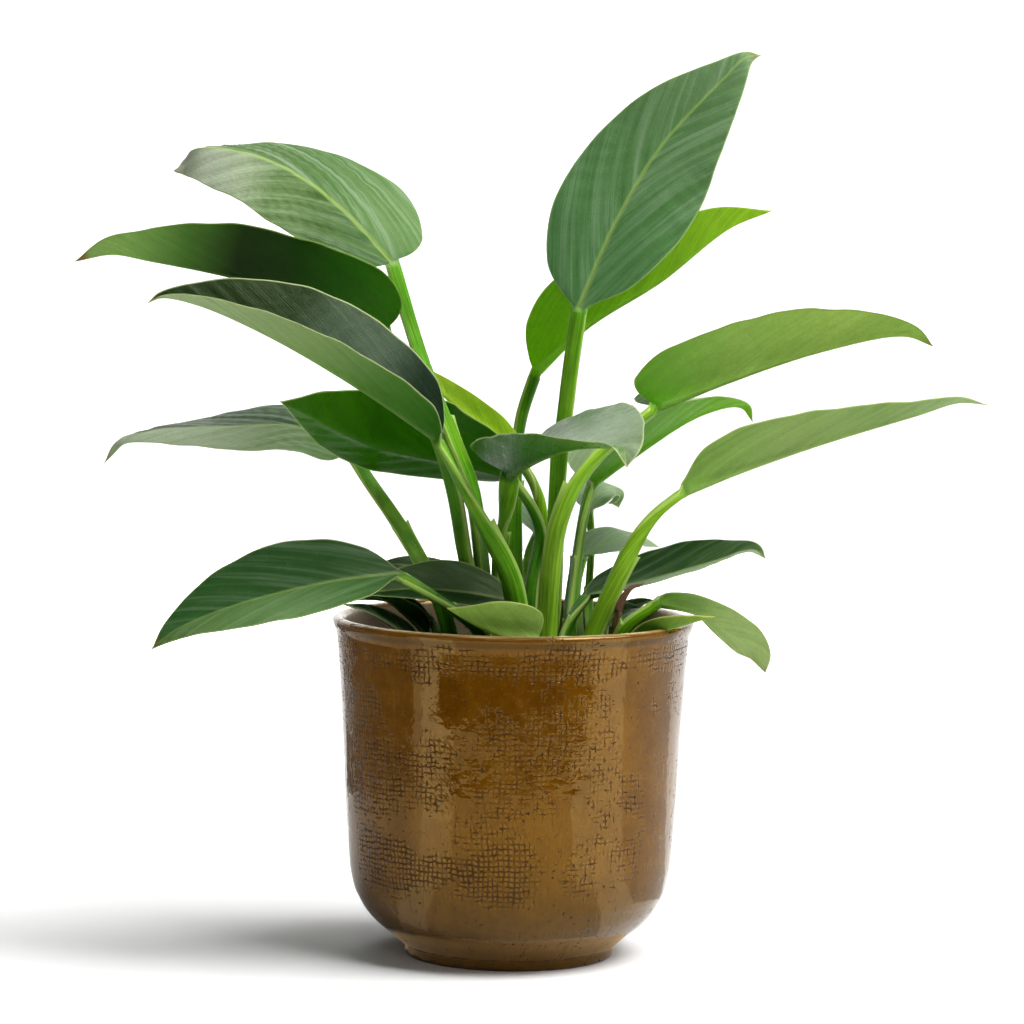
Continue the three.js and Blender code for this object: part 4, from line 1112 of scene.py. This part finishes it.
def moulded_plastic():
    m = Shader("moulded_plastic")
    here = m.here()
    fine = m.noise(here, 1500.0, 2.0, 0.5)
    cloud = m.noise(here, 40.0, 3.0, 0.5)
    tint = m.mix(cloud, "#232726", "#343a38")
    rough = m.scaled(cloud, 0.2, 0.45)
    return m.finish(m.surface(Base_Color=tint, Roughness=rough, Normal=m.bump(fine, 0.0002, 0.4)))


def studio_card(name, tint, glow=0.0):
    """Floor, wall and cards of the studio: paper with the faintest grain."""
    m = Shader(name)
    grain = m.noise(m.here(), 90.0, 3.0, 0.5)
    shade = m.mix(grain, tuple(PAPER_GRAIN * c for c in tint), tint)
    return m.finish(m.surface(Base_Color=shade, Roughness=0.85, Specular_IOR_Level=0.2,
                              Emission_Color=tint, Emission_Strength=glow))


# Cover pot
POT_OUTLINE = [
    (41, 4), (46.2, 8.6), (52, 13.2), (56.1, 17.8), (58.8, 22.4), (60.8, 27), (62.6, 36.3),
    (63.6, 50), (64.4, 64), (65.2, 82.5), (66.4, 101), (67.4, 117)
]
POT_LIP = [(68.1, 123.5), (68.55, 126), (69.7, 128.9), (69.7, 130.8), (67.8, 131.7), (65.8, 131), (64.4, 128)]
POT_INSIDE = [(62.8, 117), (61.6, 100), (59.8, 64), (57.6, 36), (53, 23), (46, 14.5)]
POT_FOOT_RADIUS = 40.3
POT_FOOT_HEIGHT = 3
POT_FLOOR = 10
POT_FLOOR_RADIUS = 41
POT_TURN = 320
POT_FOOT_ROUND = (0.6, 0.5)
OUTLINE_STEPS = 13
LIP_STEPS = 8
INSIDE_STEPS = 5
POT_SWELL = 0.16
SWELL_HEIGHTS = (6, 30, 80, 130)
FOOT_SHADE = 0.85
FOOT_SHADE_HEIGHTS = (8, 56)
CREST_HEIGHTS = (129.2, 130.6)

# Rows of the profile counted back from the first one inside: where the wall ends, where the tone of the inside
# begins and is full, and where the crest of the lip ends
WALL_END = 20
INSIDE_BEGINS = 16
INSIDE_FULL = 10
CREST_END = 8

# Waves over the wall: how many, turns round the pot from and below, and steepest rise
WAVE_COUNT = 14
WAVE_TURNS = (1, 9)
WAVE_RISE = 0.12


def smooth_outline(points, steps):
    """Evenly smooth line through [radius, height] pairs."""
    points = np.asarray(points, float)
    padded = np.vstack([points[:1], points, points[-1:]])
    u = np.linspace(0, 1, steps, endpoint=False)[:, None]
    line = []
    for a, b, c, d in zip(padded, padded[1:], padded[2:], padded[3:]):
        line.append(cubic_run(b, c, (c - a) / 2, (d - b) / 2, u))
    return np.vstack([*line, points[-1:]])


def lathe(profile, turn, shape):
    """Points and faces of a closed turned form; profile runs from axis to axis; shape moves its points."""
    profile = np.asarray(profile, float)
    angles = np.arange(turn) / turn * 2 * math.pi
    ring = profile[1:-1]
    radius = np.repeat(ring[:, 0][:, None], turn, 1)
    height = np.repeat(ring[:, 1][:, None], turn, 1)
    radius, height = shape(radius, height, np.broadcast_to(angles, radius.shape))
    points = np.stack([radius * np.sin(angles), -radius * np.cos(angles), height], -1).reshape(-1, 3)
    count = len(ring)
    index = np.arange(count * turn).reshape(count, turn)
    after = np.roll(index, -1, axis=1)
    faces = quads(index[:-1], after[:-1], after[1:], index[1:]).tolist()
    first, last = len(points), len(points) + 1
    points = np.vstack([points, [0, 0, profile[0, 1]], [0, 0, profile[-1, 1]]])
    faces += [(first, int(b), int(a)) for a, b in zip(index[0], after[0])]
    faces += [(last, int(a), int(b)) for a, b in zip(index[-1], after[-1])]
    return points, faces


def waves(angle, height, seed):
    """Smooth random field over angle and height, between about -1 and 1."""
    draw = np.random.default_rng(seed)
    field = np.zeros_like(angle)
    for _ in range(WAVE_COUNT):
        turns = draw.integers(*WAVE_TURNS)
        rise = draw.uniform(-WAVE_RISE, WAVE_RISE)
        field += np.cos(turns * angle + rise * height + draw.uniform(0, 2 * math.pi))
    return field / math.sqrt(WAVE_COUNT / 2) / 2


# Places of the linen imprint: middle in degrees from the front, half width, lowest and highest height in mm,
# and how strong it is where that isn't 1
IMPRINTS = [
    (0, 200, 113, 127, 1.3), (-44, 24, 58, 92, 1.2), (-62, 16, 88, 112, 1.4), (-30, 38, 30, 53, 1.6),
    (4, 15, 60, 106, 0.9), (22, 12, 76, 112),
    (-14, 10, 46, 64), (28, 5, 60, 72), (44, 3, 62, 72), (27, 6, 30, 54), (45, 8, 34, 52), (64, 14, 96, 112),
    (88, 14, 44, 86), (125, 30, 30, 70), (165, 22, 55, 100), (-150, 30, 34, 80), (-104, 26, 50, 98),
]
IMPRINT_RAGGED = 4
IMPRINT_FRAYED = 2.2
IMPRINT_SIDE = (-3, 6)
IMPRINT_END = (-2, 5)


def imprint_share(angle, height):
    """How strong the linen imprint is at each point of the wall."""
    ragged = IMPRINT_RAGGED * waves(angle, height, SEED + 1)
    ragged = ragged + IMPRINT_FRAYED * waves(3 * angle, 4 * height, SEED + 2)
    share = np.zeros_like(angle)
    for middle, half, low, high, *strength in IMPRINTS:
        off = (np.degrees(angle) - middle + 180) % 360 - 180
        wide = smoothstep(*IMPRINT_SIDE, half + ragged - np.abs(off))
        tall = smoothstep(*IMPRINT_END, height + ragged - low) * smoothstep(*IMPRINT_END, high + ragged - height)
        share = np.maximum(share, wide * tall * (strength[0] if strength else 1))
    return share


def make_pot(material):
    """The glazed cover pot, with the places of its tones, among them its painted shade towards the foot."""
    outer = smooth_outline(POT_OUTLINE, OUTLINE_STEPS)
    lip = smooth_outline([POT_OUTLINE[-1], *POT_LIP, POT_INSIDE[0]], LIP_STEPS)[1:]
    inner = smooth_outline(POT_INSIDE, INSIDE_STEPS)[1:]
    profile = [
        (0, 0), (POT_FOOT_RADIUS - POT_FOOT_ROUND[0], 0), (POT_FOOT_RADIUS, POT_FOOT_ROUND[1]),
        (POT_FOOT_RADIUS, POT_FOOT_HEIGHT),
        *map(tuple, outer), *map(tuple, lip), *map(tuple, inner), (POT_FLOOR_RADIUS, POT_FLOOR), (0, POT_FLOOR)
    ]
    lip_start = 3 + len(outer)
    inside_start = lip_start + len(lip)

    def shape(radius, height, angle):
        row = np.arange(len(radius))[:, None]
        on_wall = (row > 3) & (row < inside_start - WALL_END)
        swell = POT_SWELL * waves(angle, height, SEED) - POT_SWELL
        fade = smoothstep(*SWELL_HEIGHTS[:2], height) * smoothstep(*SWELL_HEIGHTS[:1:-1], height)
        return radius + np.where(on_wall, swell * fade, 0), height

    points, faces = lathe(profile, POT_TURN, shape)
    piece = make_object("cover_pot_glazed", points, faces, material, "cover_pot")
    angle = np.arctan2(points[:, 0], -points[:, 1])
    height = points[:, 2]
    rings = np.minimum(np.arange(len(points)) // POT_TURN, len(profile))
    outside = (rings < inside_start - WALL_END) & (rings > 2)
    # Painted shade, darker towards the foot
    shade = FOOT_SHADE * smoothstep(*FOOT_SHADE_HEIGHTS[::-1], height) * (rings < lip_start)
    for name, values in (
        ("imprint", imprint_share(angle, height) * outside),
        ("inside", smoothstep(inside_start - INSIDE_BEGINS, inside_start - INSIDE_FULL, rings)),
        ("crest", smoothstep(*CREST_HEIGHTS, height) * (rings < inside_start - CREST_END)),
        ("painted_foot_shade", shade)
    ):
        put_attribute(piece.data, name, "FLOAT", values)


# Pieces
tissue = leaf_tissue()
dry = dry_tissue()
for number, (node, leaf) in enumerate(LEAVES.items()):
    make_leaf(node, leaf, dry if leaf["tone"] == "dry" else tissue, PHASE_STEP * number)
make_pot(glaze())

crown_material = crown_tissue()
for node in CROWNS:
    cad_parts[node].material_slots[0].material = crown_material
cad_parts["soil"].material_slots[0].material = potting_soil()
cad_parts["grow_pot"].material_slots[0].material = moulded_plastic()


# Floor, backdrop, lights and camera, in metres
PAPER = (0.93, 0.93, 0.93)
FLOOR_NEAR = -2.6
FLOOR_HALF = 4.0
WALL_START = 1.6
WALL_BEND = 1.2
WALL_TOP = 4.0
WALL_STEPS = 13
FLOOR_MIDDLE = 0.4
FAR_FLOOR = 1.0
FAR_WALL = 4.5
FAR_TOP = 7.0
FAR_HEIGHT = 0.001
FAR_SIDES = 96


def stage_sheet(name, points, faces, material, seen=True):
    """A piece of the studio. An unlit one lights nothing, the surround shows to the camera alone, and one that
    isn't seen shows in gloss alone."""
    mesh = bpy.data.meshes.new(name)
    mesh.from_pydata(points, [], faces)
    mesh.shade_smooth()
    mesh.materials.append(material)
    piece = bpy.data.objects.new(name, mesh)
    bpy.context.collection.objects.link(piece)
    if seen is not True:
        piece.visible_camera = seen in ("unlit", "surround")
        piece.visible_glossy = seen != "surround"
        piece.visible_diffuse = False
        piece.visible_transmission = False
        piece.visible_shadow = False


def cyclorama():
    """Pale floor that runs back and curves up into a wall; the wall doesn't light the plant."""
    bend = [
        (WALL_START + WALL_BEND * math.sin(a), WALL_BEND - WALL_BEND * math.cos(a))
        for a in np.linspace(0, math.pi / 2, WALL_STEPS)
    ]
    for name, line, seen in (
        ("studio_floor", [(FLOOR_NEAR, 0.0), (FLOOR_MIDDLE, 0.0), bend[0]], True),
        ("studio_wall", [*bend, (WALL_START + WALL_BEND, WALL_TOP)], "unlit")
    ):
        points = [(x, y, z) for y, z in line for x in (-FLOOR_HALF, FLOOR_HALF)]
        faces = [(2 * i, 2 * i + 1, 2 * i + 3, 2 * i + 2) for i in range(len(line) - 1)]
        stage_sheet(name, points, faces, studio_card(name + "_card", PAPER), seen)


def surround():
    """White floor and walls far off, which only the camera sees."""
    angles = np.linspace(0, 2 * math.pi, FAR_SIDES + 1)[:-1]
    rings = [(FAR_FLOOR, FAR_HEIGHT), (FAR_WALL, FAR_HEIGHT), (FAR_WALL, FAR_TOP)]
    points = [(r * math.cos(a), r * math.sin(a), z) for r, z in rings for a in angles]
    count = len(angles)
    faces = [
        (count * k + i, count * k + (i + 1) % count, count * (k + 1) + (i + 1) % count, count * (k + 1) + i)
        for k in range(len(rings) - 1) for i in range(count)
    ]
    stage_sheet("studio_surround", points, faces, studio_card("surround_card", PAPER, 1.2), "surround")


# Outline of the dark card that shows in the middle of the glaze: distance from the pot's axis, and the
# directions, in degrees from the front, of its ragged left and right edges; and its near edge
FLAG_SIDES = [
    (0.378, -42, 40), (0.388, -42, 47), (0.403, -44, 46.8), (0.415, -52.5, 46.6), (0.432, -54, 50),
    (0.437, -45, 51), (0.462, -49.5, 55.4), (0.49, -46.5, 52), (0.51, -46.6, 50), (0.60, -47, 51),
    (0.70, -31, 50), (1.1, -37, 44), (2.2, -38, 43),
]
FLAG_NEAR = [
    (-43.5, 0.372), (-36, 0.366), (-30, 0.37), (-21.5, 0.365), (-16, 0.358), (-10.7, 0.361), (-5.3, 0.355),
    (2, 0.361), (10.7, 0.357), (16, 0.364), (21.5, 0.361), (29, 0.368), (36, 0.367),
]
FLAG_COLUMNS = 33
FLAG_HEIGHT = 0.006
CARD_COLUMNS = 17

# Other cards: directions from the front in degrees, distances from the axis, height, paper, colour and glow
CARDS = [
    ("front_shade", (-44, 50), (0.052, 0.37), 0.002, "shade_card", (0.5, 0.5, 0.5), 0.0),
    ("foot_card", (-150, 128), (0.0408, 0.05), 0.001, "foot_paper", (0.85, 0.62, 0.36), 0.25),
    ("strip_near", (-58, -36), (0.14, 0.28), 0.004, "near_card", (0.85, 0.85, 0.85), 0.1),
    ("strip_edge", (-65, -58), (0.14, 1.4), 0.004, "edge_card", (0.65, 0.65, 0.65), 0.0),
    ("bright_strip", (-58, -36), (0.28, 1.4), 0.004, "strip_card", (0.9, 0.9, 0.9), 0.5),
    ("right_strip", (38, 76), (0.14, 1.4), 0.004, "side_card", (0.9, 0.9, 0.9), 0.2),
    ("left_flag", (-150, -65), (0.36, 2.2), 0.003, "left_cloth", (0.08, 0.08, 0.08), 0.0),
    ("left_shade", (-150, -65), (0.052, 0.36), 0.002, "left_card", (0.5, 0.5, 0.5), 0.0),
    ("right_flag", (76, 128), (0.09, 2.2), 0.004, "right_cloth", (0.5, 0.5, 0.5), 0.0),
]

# Lights: place, target, size and watts
LIGHTS = [
    ("key", (1.1, -0.5, 2.1), (0, 0, 0.12), (1.8, 1.8), 112),
    ("top", (-0.2, 0.3, 2.2), (0, 0, 0.1), (1.3, 1.2), 14),
    ("front_box", (-0.2, -2.0, 1.4), (0, 0, 0.15), (0.9, 0.9), 4),
    ("back_wash", (0.0, 1.2, 1.9), (0, 2.8, 1.4), (3.0, 0.6), 60),
]


def sector_faces(columns, rows):
    """Faces of an open sheet whose points run row by row."""
    return [
        (columns * k + i, columns * k + i + 1, columns * (k + 1) + i + 1, columns * (k + 1) + i)
        for k in range(rows - 1) for i in range(columns - 1)
    ]


def ragged_flag(name, height, material):
    """The dark card, with its edges as above."""
    share = np.linspace(0, 1, FLAG_COLUMNS)
    near_turn = FLAG_NEAR[0][0] + (FLAG_NEAR[-1][0] - FLAG_NEAR[0][0]) * share
    near = np.interp(near_turn, *zip(*FLAG_NEAR))
    rows = [(near, near_turn)]
    rows += [(np.full(FLAG_COLUMNS, r), left + (right - left) * share) for r, left, right in FLAG_SIDES]
    points = [
        (r * math.sin(math.radians(a)), -r * math.cos(math.radians(a)), height)
        for reach, turn in rows for r, a in zip(reach, turn)
    ]
    stage_sheet(name, points, sector_faces(FLAG_COLUMNS, len(rows)), material, seen=False)


def reflected_card(name, turn, reach, height, material):
    """A card just over the floor, a sector between two directions from the front and two distances."""
    angles = np.radians(np.linspace(*turn, CARD_COLUMNS))
    points = [(r * math.sin(a), -r * math.cos(a), height) for r in reach for a in angles]
    stage_sheet(name, points, sector_faces(len(angles), len(reach)), material, seen=False)


def area_light(name, place, target, size, power):
    light = bpy.data.lights.new(name, "AREA")
    light.shape = "RECTANGLE"
    light.size, light.size_y = size
    light.energy = power
    lamp = bpy.data.objects.new(name, light)
    bpy.context.collection.objects.link(lamp)
    lamp.location = place
    lamp.rotation_euler = (Vector(target) - Vector(place)).to_track_quat("-Z", "Y").to_euler()


cyclorama()
surround()
ragged_flag("dark_flag", FLAG_HEIGHT, studio_card("flag_cloth", (0.012, 0.01, 0.008)))
for name, turn, reach, height, paper, tint, glow in CARDS:
    reflected_card(name, turn, reach, height, studio_card(paper, tint, glow))
for light in LIGHTS:
    area_light(*light)

WORLD_STRENGTH = 0.09
world = bpy.data.worlds.new("studio")
bpy.context.scene.world = world
world.use_nodes = True
background = world.node_tree.nodes["Background"].inputs
background["Color"].default_value = (1, 1, 1, 1)
background["Strength"].default_value = WORLD_STRENGTH

camera = bpy.data.cameras.new("camera")
camera.lens = CAMERA_LENS
camera.sensor_width = CAMERA_SENSOR
camera.clip_start = 0.05
camera.clip_end = 50
viewer = bpy.data.objects.new("camera", camera)
bpy.context.collection.objects.link(viewer)
forward = Vector((
    math.sin(CAMERA_YAW) * math.cos(CAMERA_PITCH),
    math.cos(CAMERA_YAW) * math.cos(CAMERA_PITCH),
    math.sin(CAMERA_PITCH)
))
level = Vector((math.cos(CAMERA_YAW), -math.sin(CAMERA_YAW), 0))
above = level.cross(forward)
right = level * math.cos(CAMERA_ROLL) + above * math.sin(CAMERA_ROLL)
above = above * math.cos(CAMERA_ROLL) - level * math.sin(CAMERA_ROLL)
viewer.matrix_world = Matrix((
    (right.x, above.x, -forward.x, CAMERA_PLACE[0]),
    (right.y, above.y, -forward.y, CAMERA_PLACE[1]),
    (right.z, above.z, -forward.z, CAMERA_PLACE[2]),
    (0, 0, 0, 1)
))
bpy.context.scene.camera = viewer
bpy.context.scene.view_settings.view_transform = "Standard"
